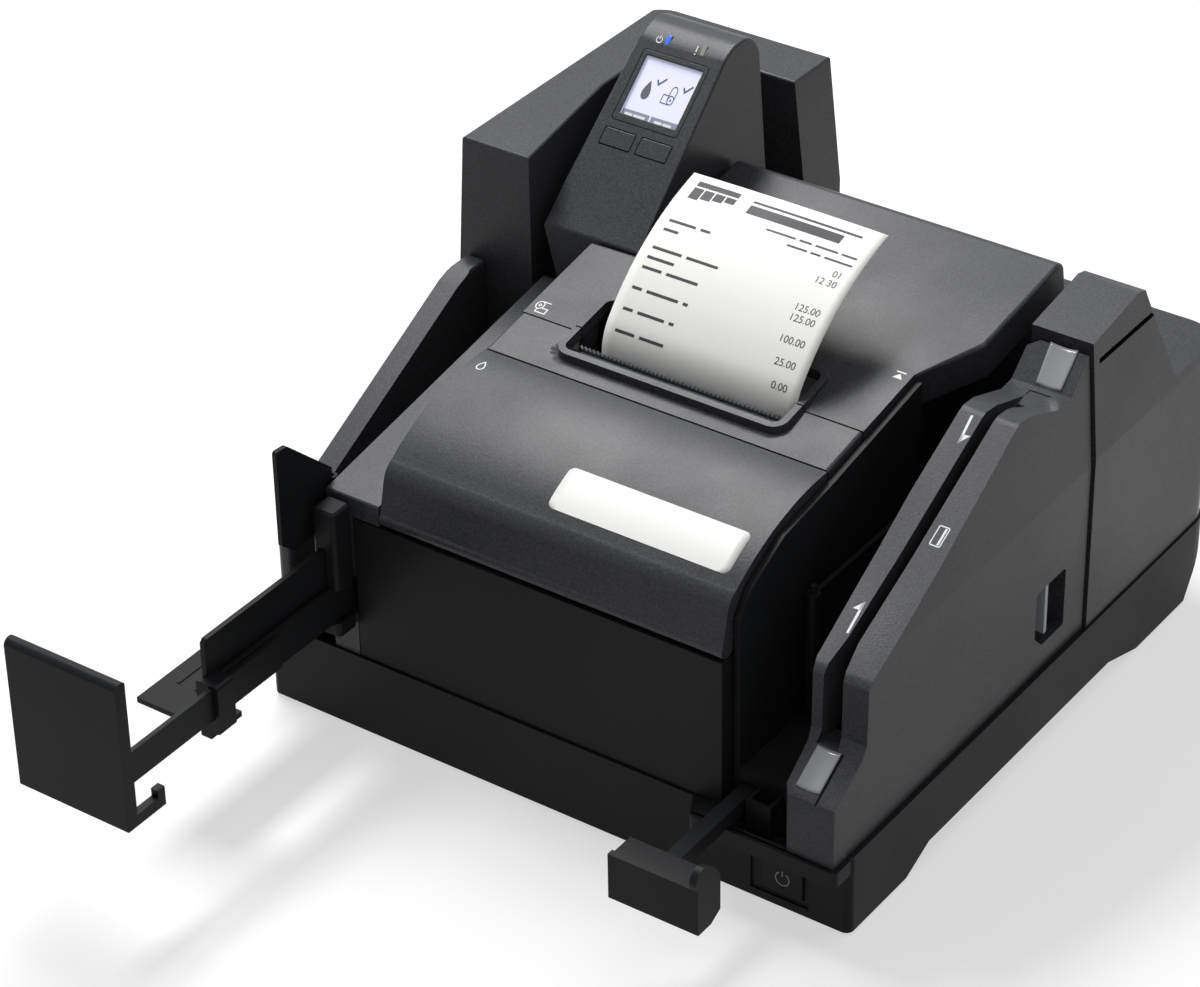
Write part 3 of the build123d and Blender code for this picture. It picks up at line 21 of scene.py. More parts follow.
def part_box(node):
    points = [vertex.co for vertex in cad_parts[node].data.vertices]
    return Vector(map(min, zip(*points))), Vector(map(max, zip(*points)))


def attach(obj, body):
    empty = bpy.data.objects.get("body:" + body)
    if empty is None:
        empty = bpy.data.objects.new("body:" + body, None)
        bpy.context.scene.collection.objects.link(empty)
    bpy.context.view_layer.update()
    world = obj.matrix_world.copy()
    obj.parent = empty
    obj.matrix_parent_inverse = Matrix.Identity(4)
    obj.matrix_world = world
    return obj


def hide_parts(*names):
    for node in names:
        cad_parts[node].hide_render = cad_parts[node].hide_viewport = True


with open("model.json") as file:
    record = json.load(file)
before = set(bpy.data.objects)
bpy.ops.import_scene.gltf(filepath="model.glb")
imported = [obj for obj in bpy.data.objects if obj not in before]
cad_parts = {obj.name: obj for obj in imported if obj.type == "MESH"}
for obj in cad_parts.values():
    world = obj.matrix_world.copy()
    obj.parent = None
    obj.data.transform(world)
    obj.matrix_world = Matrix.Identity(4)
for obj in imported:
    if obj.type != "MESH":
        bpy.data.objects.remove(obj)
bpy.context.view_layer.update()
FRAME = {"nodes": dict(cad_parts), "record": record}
LOG = logging.getLogger("cheque_scanner")

Array = np.ndarray
Surface = Callable[[Array, Array], Array]

MM = 0.001
LIP_REACH = 9.4  # the base's front lip stands this far before the datum
BASE_LOW, BASE_HIGH = (1000 * np.array(corner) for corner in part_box("base"))
DATUM = np.array([(BASE_LOW[0] + BASE_HIGH[0]) / 2, BASE_LOW[1] + LIP_REACH, BASE_LOW[2]])

DECK_Y, DECK_Z, DECK_SLOPE = 63.5, 129.9, 0.173  # the rising printer top
DISPLAY_Y, DISPLAY_Z, DISPLAY_ANGLE = 130.0, 141.4, radians(40.7)
PRINT_LIFT = 0.03  # a print lies this far above its surface
DRIFT_MM = 45  # size of the slow patches that handling leaves on plastic
NOISE_LOW, NOISE_HIGH = 0.3, 0.7  # the middle of a noise's range, where nearly all of it lies
WELD = 1e-6  # points of a new mesh nearer than this many metres are one point
CAD_WELD = 2e-6  # the same for a copy of a CAD mesh
FLAT_DEGREES = 0.6  # faces of a CAD mesh that meet at less than this are one flat area
LARGE_SEGMENTS = 5  # faces across one of the large rounded edges


def at(x: Array, y: Array, z: Array) -> Array:
    """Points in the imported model's frame, in metres, of datum points in millimetres.

    Args:
        x: widths.
        y: depths.
        z: heights.

    Returns:
        An array of shape (..., 3).
    """
    x, y, z = np.broadcast_arrays(x, y, z)
    return (np.stack([x, y, z], axis=-1) + DATUM) * MM


def smooth(t: Array) -> Array:
    """Cubic step 3t² - 2t³, held at 0 and 1 outside that range."""
    t = np.clip(t, 0.0, 1.0)
    return t * t * (3 - 2 * t)


# ------------------------------------------------------------------------------ node helpers
def linear(colour: str) -> tuple[float, float, float, float]:
    """Linear RGBA of an sRGB hex colour, by the standard's own curve.

    Args:
        colour: six hex digits such as "3a3b3d".

    Returns:
        Red, green, blue and a full alpha.
    """
    parts = np.array([int(colour[i : i + 2], 16) / 255 for i in (0, 2, 4)])
    values = np.where(parts <= 0.04045, parts / 12.92, ((parts + 0.055) / 1.055) ** 2.4)
    return (*(float(v) for v in values), 1.0)


def add_node(
    tree: bpy.types.NodeTree, kind: str, inputs: Optional[dict] = None, **settings: object
) -> bpy.types.Node:
    """Adds a node with its settings, input values and links.

    Args:
        tree: the material's node tree.
        kind: the node's Blender type name.
        inputs: socket name or index to a value, or to the output socket that feeds it.
        settings: properties set on the node.

    Returns:
        The new node.
    """
    made = tree.nodes.new(kind)
    for name, value in settings.items():
        setattr(made, name, value)
    for key, value in (inputs or {}).items():
        if isinstance(value, bpy.types.NodeSocket):
            tree.links.new(value, made.inputs[key])
        else:
            made.inputs[key].default_value = value
    return made


def spread(
    tree: bpy.types.NodeTree, noise: bpy.types.Node, low: float = 0.0, high: float = 1.0
) -> bpy.types.NodeSocket:
    """Spreads the middle of a noise over a range of values.

    Args:
        tree: the material's node tree.
        noise: the noise texture.
        low: the value where the noise is low.
        high: the value where it is high.

    Returns:
        The spread value's socket.
    """
    ends = {"From Min": NOISE_LOW, "From Max": NOISE_HIGH, "To Min": low, "To Max": high}
    return add_node(tree, "ShaderNodeMapRange", {"Value": noise.outputs[0], **ends}).outputs[0]


class Grain(Enum):
    """The kind of fine relief on a surface."""

    SPARK = "spark-eroded mould texture"
    SATIN = "fine satin mould texture"
    BRUSHED = "brushed or rolled lines"
    FIBRE = "paper fibres"
    MOTTLE = "soft uneven rubber"


GRAIN_STRETCH = {
    Grain.SPARK: (1.0, 1.0, 1.0),
    Grain.SATIN: (1.0, 1.0, 1.0),
    Grain.BRUSHED: (0.04, 1.0, 1.0),
    Grain.FIBRE: (0.35, 1.0, 1.0),
    Grain.MOTTLE: (1.0, 1.0, 1.0),
}


@dataclass(frozen=True)
class Finish:
    """One finish: a base colour with its grain, its slow colour drift and its gloss.

    Lengths are in millimetres. `fleck` and `drift` are shares of the colour, and `rub` is how
    far the roughness wanders either way.
    """

    name: str
    colour: str
    roughness: float
    grain: Grain = Grain.SPARK
    grain_mm: float = 0.5
    relief_mm: float = 0.02
    fleck: float = 0.10
    drift: float = 0.04
    metallic: float = 0.0
    ior: float = 1.5
    specular: float = 0.5
    coat: float = 0.0
    coat_roughness: float = 0.12
    glow: float = 0.0
    rub: float = 0.06

    def tint(self, share: float) -> tuple[float, ...]:
        """The base colour times a share, none of it above 1."""
        return (*(min(1.0, c * share) for c in linear(self.colour)[:3]), 1.0)

    def make(self) -> bpy.types.Material:
        """Builds the node tree.

        Fine noise spaced at the grain's size gives flecks in the colour and the relief; slow
        noise as wide as a hand's touch drifts the colour and the gloss, as handled plastic does.

        Returns:
            The material, made once and then reused.
        """
        found = bpy.data.materials.get(self.name)
        if found:
            return found
        material = bpy.data.materials.new(self.name)
        material.use_nodes = True
        tree = material.node_tree
        tree.nodes.clear()
        place = add_node(tree, "ShaderNodeTexCoord").outputs["Object"]
        stretched = add_node(tree, "ShaderNodeMapping", {"Vector": place, "Scale": GRAIN_STRETCH[self.grain]})
        fine_inputs = {"Vector": stretched.outputs[0], "Scale": 1 / (self.grain_mm * MM)}
        fine = add_node(tree, "ShaderNodeTexNoise", {**fine_inputs, "Detail": 2.0, "Roughness": 0.6})
        slow_inputs = {"Vector": place, "Scale": 1 / (DRIFT_MM * MM)}
        slow = add_node(tree, "ShaderNodeTexNoise", {**slow_inputs, "Detail": 3.0})
        flecks = {0: spread(tree, fine), 6: self.tint(1 - self.fleck), 7: self.tint(1 + self.fleck)}
        flecked = add_node(tree, "ShaderNodeMix", flecks, data_type="RGBA").outputs[2]
        shade_of = spread(tree, slow, 1 - self.drift, 1 + self.drift)
        drifted = add_node(tree, "ShaderNodeHueSaturation", {"Color": flecked, "Value": shade_of}).outputs[0]
        gloss = spread(tree, slow, max(0.02, self.roughness - self.rub), min(1.0, self.roughness + self.rub))
        bump = {"Height": fine.outputs[0], "Strength": 0.6, "Distance": self.relief_mm * MM}
        shader = add_node(
            tree,
            "ShaderNodeBsdfPrincipled",
            {
                "Base Color": drifted,
                "Roughness": gloss,
                "Metallic": self.metallic,
                "IOR": self.ior,
                "Specular IOR Level": self.specular,
                "Coat Weight": self.coat,
                "Coat Roughness": self.coat_roughness,
                "Normal": add_node(tree, "ShaderNodeBump", bump).outputs[0],
            },
        )
        if self.glow:
            tree.links.new(drifted, shader.inputs["Emission Color"])
            shader.inputs["Emission Strength"].default_value = self.glow
        add_node(tree, "ShaderNodeOutputMaterial", {"Surface": shader.outputs[0]})
        return material


# ------------------------------------------------------------------------------ finishes
# Mouldings.
# The eroded mould leaves sparkling flecks on the tops and keeps the sheen broad and dull.
CHARCOAL_ABS = Finish(
    "charcoal ABS, spark-eroded", "3a3b3e", 0.36, grain_mm=0.8, relief_mm=0.07, fleck=0.42, specular=0.18
)
# Finer and darker than the cases, so the base and the pockets read as a second moulding.
BLACK_ABS = Finish("black ABS, satin", "1d1e20", 0.44, Grain.SATIN, 0.45, 0.02, 0.18, specular=0.09)
# Cards have worn the grain away, so the ramps are smoother and glossier; their light grey colour is painted
# sheen, so they read lighter than what lies round them.
POLISHED_ABS_PAINTED_SHEEN = Finish(
    "charcoal ABS, polished by cards, sheen painted light", "8e8f92", 0.26, Grain.SATIN, 0.3, 0.004, 0.04, coat=0.3
)
# A light satin that makes the small levers easy to find.
LEVER_GREY = Finish("grey ABS, satin", "b4b6ba", 0.34, Grain.SATIN, 0.4, 0.006, 0.04)
# Waxy and half-shiny, softer than the hard cases.
CARTRIDGE_PLASTIC = Finish("polypropylene, moulded", "313338", 0.5, Grain.SATIN, 0.5, 0.01)
# Milky white with a slick touch, which picks the teeth out of the dark frame.
GEAR_NYLON = Finish("acetal, moulded", "e6e2d6", 0.38, Grain.SATIN, 0.6, 0.008, 0.03, drift=0.02)
# Dead matt and slightly pitted, so a chip or an insert shows as a black block.
CHIP_EPOXY = Finish("epoxy, transfer-moulded", "242426", 0.55, Grain.SATIN, 0.3, 0.01)

# Rubbers.
# Uneven and without shine, so the feet grip the floor to the eye.
FOOT_RUBBER = Finish("nitrile rubber, moulded", "1d1d1f", 0.85, Grain.MOTTLE, 1.2, 0.05)
# A ground skin, a little lighter and smoother than the feet.
ROLLER_RUBBER = Finish("EPDM rubber, ground", "3b3b3e", 0.72, Grain.MOTTLE, 0.6, 0.04)
# Tight dark mottle that parts the belt from its pulleys.
BELT_RUBBER = Finish("neoprene belt, ribbed", "232325", 0.7, Grain.MOTTLE, 0.5, 0.03)

# Metals.
# Faint rolling lines and a cool blue-white of zinc.
MOTOR_STEEL = Finish(
    "zinc-plated steel, rolled", "b9bcc0", 0.36, Grain.BRUSHED, 0.25, 0.006, 0.05, metallic=1.0
)
# Softer and whiter than the steel, its lines left by the die.
HEATSINK_ALUMINIUM = Finish(
    "anodised aluminium, extruded", "c4c7ca", 0.42, Grain.BRUSHED, 0.2, 0.006, 0.05, metallic=1.0
)
# Grinding lines break its mirror, so the row of points glints.
BLADE_STEEL = Finish("hardened steel, ground", "8f9194", 0.34, Grain.BRUSHED, 0.15, 0.003, 0.03, metallic=1.0)
# Warm and bright, the stamped rims catch light at the back.
CONNECTOR_STEEL = Finish(
    "nickel-plated steel, stamped", "c9c7c1", 0.28, Grain.SATIN, 0.3, 0.003, 0.03, metallic=1.0
)
# Small gold rows deep in the dark sockets.
CONTACT_GILT = Finish(
    "gold-plated spring contacts", "d9b25a", 0.25, Grain.SATIN, 0.2, 0.001, 0.03, metallic=1.0
)

# Paper, board and film.
# Almost no grain and a cool white, which is what tells thermal paper from copy paper.
THERMAL_PAPER = Finish(
    "thermal paper, calendered", "fbfbf8", 0.62, Grain.FIBRE, 0.25, 0.004, 0.015, drift=0.012
)
# Brown-grey fibres, rough beside the white roll.
CORE_CARD = Finish("grey board, wound", "a89478", 0.85, Grain.FIBRE, 0.4, 0.03, 0.10)
# Whiter and tighter than paper, with a plastic sheen.
LABEL_FILM = Finish(
    "white polyester label, satin", "f1f1ef", 0.42, Grain.SATIN, 0.5, 0.002, 0.01, drift=0.01
)
# A glossy lacquer over the weave, deep green where light passes.
BOARD_GREEN = Finish(
    "fibreglass board, solder-masked", "1f5a38", 0.35, Grain.SATIN, 0.8, 0.01, 0.10, coat=0.4
)

# Glass, screen and lights.
# A black mirror, since the scan bar's inside is dark.
SCAN_GLASS = Finish(
    "float glass, black-backed", "101214", 0.06, Grain.SATIN, 0.3, 0.0005, 0.02, coat=1.0, rub=0.02
)
# Lilac-white and lit from behind, so the screen glows without lighting the room.
SCREEN_GLASS = Finish(
    "polarised display glass, lit", "d6d7f0", 0.2, Grain.SATIN, 0.3, 0.0003, 0.01,
    drift=0.015, glow=0.35, rub=0.02,
)
# Darkened crystal that still lets a little of the backlight through.
LCD_SHADE = Finish("liquid crystal, darkened", "5c5e6c", 0.2, Grain.SATIN, 0.3, 0.001, 0.02, glow=0.1)
# Half-darkened, for the bars under the screen's marks.
LCD_BAR = Finish("liquid crystal, half-darkened", "8a8c9e", 0.2, Grain.SATIN, 0.3, 0.001, 0.02, glow=0.15)
# Cloudy while unlit, so the lens shows against the dark brow.
LIGHT_LENS = Finish("clear acrylic, frosted", "8c9086", 0.22, Grain.SATIN, 0.4, 0.002, 0.03)
# The one strong colour on the machine.
BLUE_LIGHT = Finish("blue acrylic, lit from behind", "2a58ff", 0.2, Grain.SATIN, 0.4, 0.002, 0.02, glow=0.9)

# Inks.
# Crisp and matt, for marks that are read from a distance.
WHITE_INK = Finish("white ink, pad-printed", "e9eaec", 0.5, Grain.SATIN, 0.2, 0.001, 0.02)
# Quieter, for the mark on the button.
GREY_INK = Finish("grey ink, pad-printed", "8a8c90", 0.5, Grain.SATIN, 0.2, 0.001, 0.02)
# Not quite black and faintly uneven, as a heated dot row leaves it.
THERMAL_PRINT = Finish("thermal print, dark", "2b2b30", 0.6, Grain.SATIN, 0.18, 0.001, 0.12)

SLOT_FINISH = {
    "charcoal_abs": CHARCOAL_ABS,
    "black_abs": BLACK_ABS,
    "foot_rubber": FOOT_RUBBER,
    "roller_rubber": ROLLER_RUBBER,
    "belt_rubber": BELT_RUBBER,
    "gear_nylon": GEAR_NYLON,
    "motor_steel": MOTOR_STEEL,
    "heatsink_aluminium": HEATSINK_ALUMINIUM,
    "blade_steel": BLADE_STEEL,
    "connector_steel": CONNECTOR_STEEL,
    "thermal_paper": THERMAL_PAPER,
    "core_card": CORE_CARD,
    "cartridge_plastic": CARTRIDGE_PLASTIC,
    "scan_glass": SCAN_GLASS,
    "lever_grey": LEVER_GREY,
    "board_green": BOARD_GREEN,
    "screen_glass": SCREEN_GLASS,
    "light_lens": LIGHT_LENS,
}


# ------------------------------------------------------------------------------ mesh helpers
def publish(
    name: str, mesh: bpy.types.Mesh, finish: Finish, body: str
) -> bpy.types.Object:
    """Links a finished mesh as a piece at the origin, dressed and riding on its body.

    Args:
        name: the piece's name.
        mesh: its mesh, already in place.
        finish: its finish.
        body: the CAD body that it moves with.

    Returns:
        The piece.
    """
    piece = bpy.data.objects.new(name, mesh)
    bpy.context.scene.collection.objects.link(piece)
    mesh.materials.clear()
    mesh.materials.append(finish.make())
    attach(piece, body)
    LOG.info("%s rides on %s in %s", name, body, finish.name)
    return piece


def grid_faces(rows: int, columns: int, wrap: bool = False) -> Array:
    """Quads of a grid of points, numbered row by row.

    Args:
        rows: points down the grid.
        columns: points along a row.
        wrap: whether each row closes on itself.

    Returns:
        An array of shape (quads, 4).
    """
    row, column = np.meshgrid(np.arange(rows - 1), np.arange(columns - (0 if wrap else 1)), indexing="ij")
    right = (column + 1) % columns
    here, below = row * columns, (row + 1) * columns
    return np.stack([here + column, here + right, below + right, below + column], axis=-1).reshape(-1, 4)


def mesh_of(name: str, points: Array, faces: Iterable) -> bpy.types.Mesh:
    """A clean mesh, its doubles merged and its faces turned outwards.

    Args:
        name: the mesh's name.
        points: places in metres.
        faces: the points' numbers round each face.

    Returns:
        The mesh.
    """
    mesh = bpy.data.meshes.new(name)
    mesh.from_pydata(np.asarray(points).reshape(-1, 3).tolist(), [], [list(map(int, f)) for f in faces])
    cleaned = bmesh.new()
    cleaned.from_mesh(mesh)
    bmesh.ops.remove_doubles(cleaned, verts=cleaned.verts, dist=WELD)
    bmesh.ops.recalc_face_normals(cleaned, faces=cleaned.faces)
    cleaned.to_mesh(mesh)
    cleaned.free()
    return mesh


def shade(piece: bpy.types.Object, sharp_degrees: float = 38.0) -> None:
    """Shades a piece smoothly.

    Args:
        piece: the piece.
        sharp_degrees: edges sharper than this stay sharp.
    """
    piece.data.shade_smooth()
    piece.data.set_sharp_from_angle(angle=radians(sharp_degrees))


def thicken(piece: bpy.types.Object, wall_mm: float, offset: float) -> None:
    """Gives an open surface a wall and shades it.

    Args:
        piece: the surface.
        wall_mm: the wall's thickness.
        offset: 1 puts the wall outside the surface, -1 inside it and 0 astride it.
    """
    wall = piece.modifiers.new("wall", "SOLIDIFY")
    wall.thickness, wall.offset = wall_mm * MM, offset
    shade(piece)


@dataclass(frozen=True)
class Round:
    """A box in datum millimetres whose convex edges are rounded to its own radius."""

    low: tuple[float, float, float]
    high: tuple[float, float, float]
    radius: float

    def holds(self, edge: bmesh.types.BMEdge) -> bool:
        """Whether both ends of the edge lie in the box."""
        ends = np.array([vert.co for vert in edge.verts]) / MM - DATUM
        return bool(np.all(ends >= self.low) and np.all(ends <= self.high))


def weigh(mesh: bmesh.types.BMesh, rounds: Sequence[Round], from_degrees: float) -> None:
    """Gives each convex edge in a box the share of the largest radius that the box asks for.

    Args:
        mesh: the mesh, whose edges take the weights.
        rounds: the boxes.
        from_degrees: edges flatter than this get none.
    """
    layer = mesh.edges.layers.float.new("bevel_weight_edge")
    largest = max(part.radius for part in rounds)
    for edge in mesh.edges:
        if len(edge.link_faces) == 2 and edge.calc_face_angle_signed() > radians(from_degrees):
            edge[layer] = max((part.radius / largest for part in rounds if part.holds(edge)), default=0.0)


def soften(
    node: str,
    finish: Finish,
    body: str,
    width_mm: float = 0.8,
    segments: int = 3,
    from_degrees: float = 32.0,
    rounds: Sequence[Round] = (),
) -> bpy.types.Object:
    """A copy of a CAD node with its moulded edges rounded, which stands for the node.

    The copy's loose triangles are merged and its flat areas dissolved, so that the bevel
    follows the real edges.

    Args:
        node: the CAD node.
        finish: the copy's finish.
        body: the body that the node belongs to.
        width_mm: radius of the rounded edges.
        segments: faces across one rounded edge.
        from_degrees: edges flatter than this stay as they are.
        rounds: the places with a larger radius of their own.

    Returns:
        The piece.
    """
    mesh = FRAME["nodes"][node].data.copy()
    mesh.name = f"{node}_skin"
    cleaned = bmesh.new()
    cleaned.from_mesh(mesh)
    bmesh.ops.remove_doubles(cleaned, verts=cleaned.verts, dist=CAD_WELD)
    parts = {"verts": cleaned.verts, "edges": cleaned.edges}
    bmesh.ops.dissolve_limit(cleaned, angle_limit=radians(FLAT_DEGREES), delimit={"NORMAL"}, **parts)
    if rounds:
        weigh(cleaned, rounds, from_degrees)
    cleaned.to_mesh(mesh)
    cleaned.free()
    piece = publish(f"{node}_skin", mesh, finish, body)
    if rounds:
        large = piece.modifiers.new("large radii", "BEVEL")
        large.width = max(part.radius for part in rounds) * MM
        large.segments = LARGE_SEGMENTS
        large.limit_method = "WEIGHT"
    bevel = piece.modifiers.new("rounded edges", "BEVEL")
    bevel.width = width_mm * MM
    bevel.segments = segments
    bevel.limit_method = "ANGLE"
    bevel.angle_limit = radians(from_degrees)
    bevel.use_clamp_overlap = True
    bevel.harden_normals = False
    shade(piece, 40.0)
    weighted = piece.modifiers.new("even shading", "WEIGHTED_NORMAL")
    weighted.keep_sharp = True
    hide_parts(node)
    return piece


# ------------------------------------------------------------------------------ surfaces
def slope_surface(foot_y: float, foot_z: float, angle: float, lift: float) -> Surface:
    """A flat slope that rises towards the back.

    Args:
        foot_y: depth of a line across the slope.
        foot_z: that line's height.
        angle: the slope's angle in radians.
        lift: how far above the slope the points lie, along its normal.

    Returns:
        The surface of (width, depth).
    """

    def point(x: Array, y: Array) -> Array:
        """Height is the foot's height plus the tangent of the angle times the depth past it."""
        z = foot_z + tan(angle) * (y - foot_y)
        return at(x, y - lift * sin(angle), z + lift * cos(angle))

    return point


def deck_surface(lift: float = 0.0) -> Surface:
    """The rising printer top, raised along its normal by the lift."""
    return slope_surface(DECK_Y, DECK_Z, atan(DECK_SLOPE), lift)


def face_surface(lift: float = 0.0) -> Surface:
    """The display tower's face, raised along its normal by the lift."""
    return slope_surface(DISPLAY_Y, DISPLAY_Z, DISPLAY_ANGLE, lift)


BROW = ((9.4, 113.9), (32.7, 125.4), (63.2, 129.8))  # arc of the front cover, depth and height


def circle_through(
    p: Sequence[float], q: Sequence[float], r: Sequence[float]
) -> tuple[float, float, float]:
    """The circle through three points, from the equations of its two chords' bisectors.

    Args:
        p: the first point.
        q: the second point.
        r: the third point.

    Returns:
        The centre's two coordinates and the radius.
    """
    rows = 2 * np.array([[q[0] - p[0], q[1] - p[1]], [r[0] - p[0], r[1] - p[1]]])
    square = [v[0] ** 2 + v[1] ** 2 for v in (p, q, r)]
    centre = np.linalg.solve(rows, [square[1] - square[0], square[2] - square[0]])
    return float(centre[0]), float(centre[1]), float(np.hypot(p[0] - centre[0], p[1] - centre[1]))


def brow_surface(lift: float = 0.0) -> Surface:
    """The front cover's long curve.

    Args:
        lift: how far outside the arc the points lie.

    Returns:
        The surface of (width, depth).
    """
    mid_y, mid_z, radius = circle_through(*BROW)

    def point(x: Array, y: Array) -> Array:
        """A point on the arc, moved out along its radius by the lift.

        Args:
            x: widths.
            y: depths, at which the arc's height is its middle's plus the circle's rise there.

        Returns:
            The points.
        """
        z = mid_z + np.sqrt(radius**2 - (y - mid_y) ** 2)
        out = 1 + lift / radius
        return at(x, mid_y + (y - mid_y) * out, mid_z + (z - mid_z) * out)

    return point


RIDGE = ((14.2, 94.6), (55.0, 113.6), (106.1, 139.9))  # top of the swipe cover, depth and height
RIDGE_NORMAL = (-0.44, 0.9)  # its upward normal, depth and height


def ridge_height(y: Array) -> Array:
    """Height of the swipe cover's top at a depth, read off its two straight runs."""
    return np.interp(y, [p[0] for p in RIDGE], [p[1] for p in RIDGE])


def ridge_surface(lift: float = 0.0) -> Surface:
    """The swipe cover's rising top.

    Args:
        lift: how far above it the points lie.

    Returns:
        The surface of (width, depth).
    """

    def point(x: Array, y: Array) -> Array:
        """A point on the ridge, moved along its normal by the lift."""
        return at(x, y + lift * RIDGE_NORMAL[0], ridge_height(y) + lift * RIDGE_NORMAL[1])

    return point


# ------------------------------------------------------------------------------ prints
SHARPEST_MITRE = 0.35  # cosine at which a bend's mitre grows no longer


@dataclass
class Print:
    """Flat ink marks drawn as strokes and filled outlines, laid on a surface."""

    name: str
    surface: Surface
    finish: Finish
    body: str
    points: list = field(default_factory=list)
    faces: list = field(default_factory=list)

    def patch(self, corners: Array, steps: tuple[int, int] = (2, 2)) -> None:
        """Fills a four-cornered patch.

        A point is the bilinear blend of the corners, so the patch follows the surface.

        Args:
            corners: four (width, depth) points in order round the patch.
            steps: grid points along the first and the second side.
        """
        c = np.asarray(corners, float)
        s, t = np.meshgrid(np.linspace(0, 1, steps[0]), np.linspace(0, 1, steps[1]), indexing="ij")
        s, t = s[..., None], t[..., None]
        flat = (1 - s) * (1 - t) * c[0] + s * (1 - t) * c[1] + s * t * c[2] + (1 - s) * t * c[3]
        start = sum(len(p) for p in self.points)
        self.points.append(self.surface(flat[..., 0], flat[..., 1]).reshape(-1, 3))
        self.faces.extend((grid_faces(*steps) + start).tolist())

    def block(
        self, x0: float, x1: float, y0: float, y1: float, steps: tuple[int, int] = (2, 2)
    ) -> None:
        """Fills an upright rectangle between its lowest and highest coordinates."""
        self.patch([(x0, y0), (x1, y0), (x1, y1), (x0, y1)], steps)

    def stroke(self, path: Sequence, width: float, closed: bool = False) -> None:
        """Draws a line of even width with mitred bends.

        Each point is moved half the width along the mean of its two neighbours' normals,
        divided by the cosine of half the bend.

        Args:
            path: (width, depth) points.
            width: the line's width.
            closed: whether the last point joins the first.
        """
        p = np.asarray(path, float)
        count = len(p)
        after = np.roll(p, -1, 0) - p
        before = p - np.roll(p, 1, 0)
        if not closed:
            after[-1], before[0] = before[-1], after[0]
        sides = [np.stack([-run[:, 1], run[:, 0]], -1) for run in (before, after)]
        normal = [side / np.linalg.norm(side, axis=1)[:, None] for side in sides]
        mitre = normal[0] + normal[1]
        mitre /= np.linalg.norm(mitre, axis=1)[:, None]
        reach = width / 2 / np.maximum(np.sum(mitre * normal[0], axis=1), SHARPEST_MITRE)[:, None]
        rail = np.stack([p + mitre * reach, p - mitre * reach], axis=1)
        start = sum(len(q) for q in self.points)
        self.points.append(self.surface(rail[..., 0], rail[..., 1]).reshape(-1, 3))
        for i in range(count if closed else count - 1):
            j = (i + 1) % count
            self.faces.append([start + 2 * i, start + 2 * j, start + 2 * j + 1, start + 2 * i + 1])

    def fill(self, outline: Sequence) -> None:
        """Fills an outline that is seen whole from its middle, as a fan of triangles.

        Args:
            outline: (width, depth) points in order.
        """
        p = np.asarray(outline, float)
        start = sum(len(q) for q in self.points)
        ring = np.vstack([p.mean(0), p])
        self.points.append(self.surface(ring[:, 0], ring[:, 1]).reshape(-1, 3))
        count = len(p)
        for i in range(count):
            self.faces.append([start, start + 1 + i, start + 1 + (i + 1) % count])

    def publish(self, slot: Optional[str] = None) -> bpy.types.Object:
        """Makes the marks one thin piece, its faces turned upwards.


        Returns:
            The piece.
        """
        mesh = bpy.data.meshes.new(self.name)
        mesh.from_pydata(np.vstack(self.points).tolist(), [], self.faces)
        turned = bmesh.new()
        turned.from_mesh(mesh)
        for face in turned.faces:
            if face.normal.z < 0:
                face.normal_flip()
        turned.to_mesh(mesh)
        turned.free()
        return publish(self.name, mesh, self.finish, self.body)


def ring(
    centre: Sequence[float],
    radii: Sequence[float],
    start: float = 0.0,
    end: float = 360.0,
    count: int = 33,
) -> Array:
    """Points round an ellipse: centre plus radii times cosine and sine of the angle.

    Args:
        centre: its middle.
        radii: its half-width and half-height.
        start: the first point's angle in degrees.
        end: the last point's angle.
        count: how many points there are.

    Returns:
        An array of shape (count, 2).
    """
    turn = np.radians(np.linspace(start, end, count))
    return np.stack([centre[0] + radii[0] * np.cos(turn), centre[1] + radii[1] * np.sin(turn)], -1)


def rounded(x0: float, x1: float, y0: float, y1: float, radius: float) -> Array:
    """Outline of a rectangle with quarter-round corners, anticlockwise.

    Args:
        x0: its lowest first coordinate.
        x1: its highest.
        y0: its lowest second coordinate.
        y1: its highest.
        radius: the corners' radius.

    Returns:
        An array of shape (points, 2).
    """
    corners = [(x1 - radius, y0 + radius, -90), (x1 - radius, y1 - radius, 0)]
    corners += [(x0 + radius, y1 - radius, 90), (x0 + radius, y0 + radius, 180)]
    return np.vstack([ring((x, y), (radius, radius), a, a + 90, 7) for x, y, a in corners])


DROP_WIDTH, DROP_TAPER = 0.80, 1.2  # a drop's width for its length, and how fast its tip narrows


def drop(x: float, y: float, size: float) -> Array:
    """Outline of a falling drop: its width narrows as the sine of half the turn towards its tip.

    Args:
        x: its middle's first coordinate.
        y: its middle's second coordinate.
        size: half its length.

    Returns:
        An array of shape (points, 2).
    """
    turn = np.linspace(0, 2 * pi, 28, endpoint=False)
    belly = DROP_WIDTH * np.sin(turn) * np.sin(turn / 2) ** DROP_TAPER
    return np.stack([x + size * belly, y + size * np.cos(turn)], -1)


BODY_OF = {node: body for body, nodes in FRAME["record"]["behaviour"]["bodies"].items() for node in nodes}
SLOT_OF = {part["node"]: part["material_slot"] for part in FRAME["record"]["subparts"]}


def skin(node: str, width_mm: float = 0.8, segments: int = 3, rounds: Sequence[Round] = ()) -> None:
    """Softens a node with the finish, body and slot that the record gives it."""
    slot = SLOT_OF[node]
    soften(node, SLOT_FINISH[slot], BODY_OF[node], width_mm, segments, rounds=rounds)


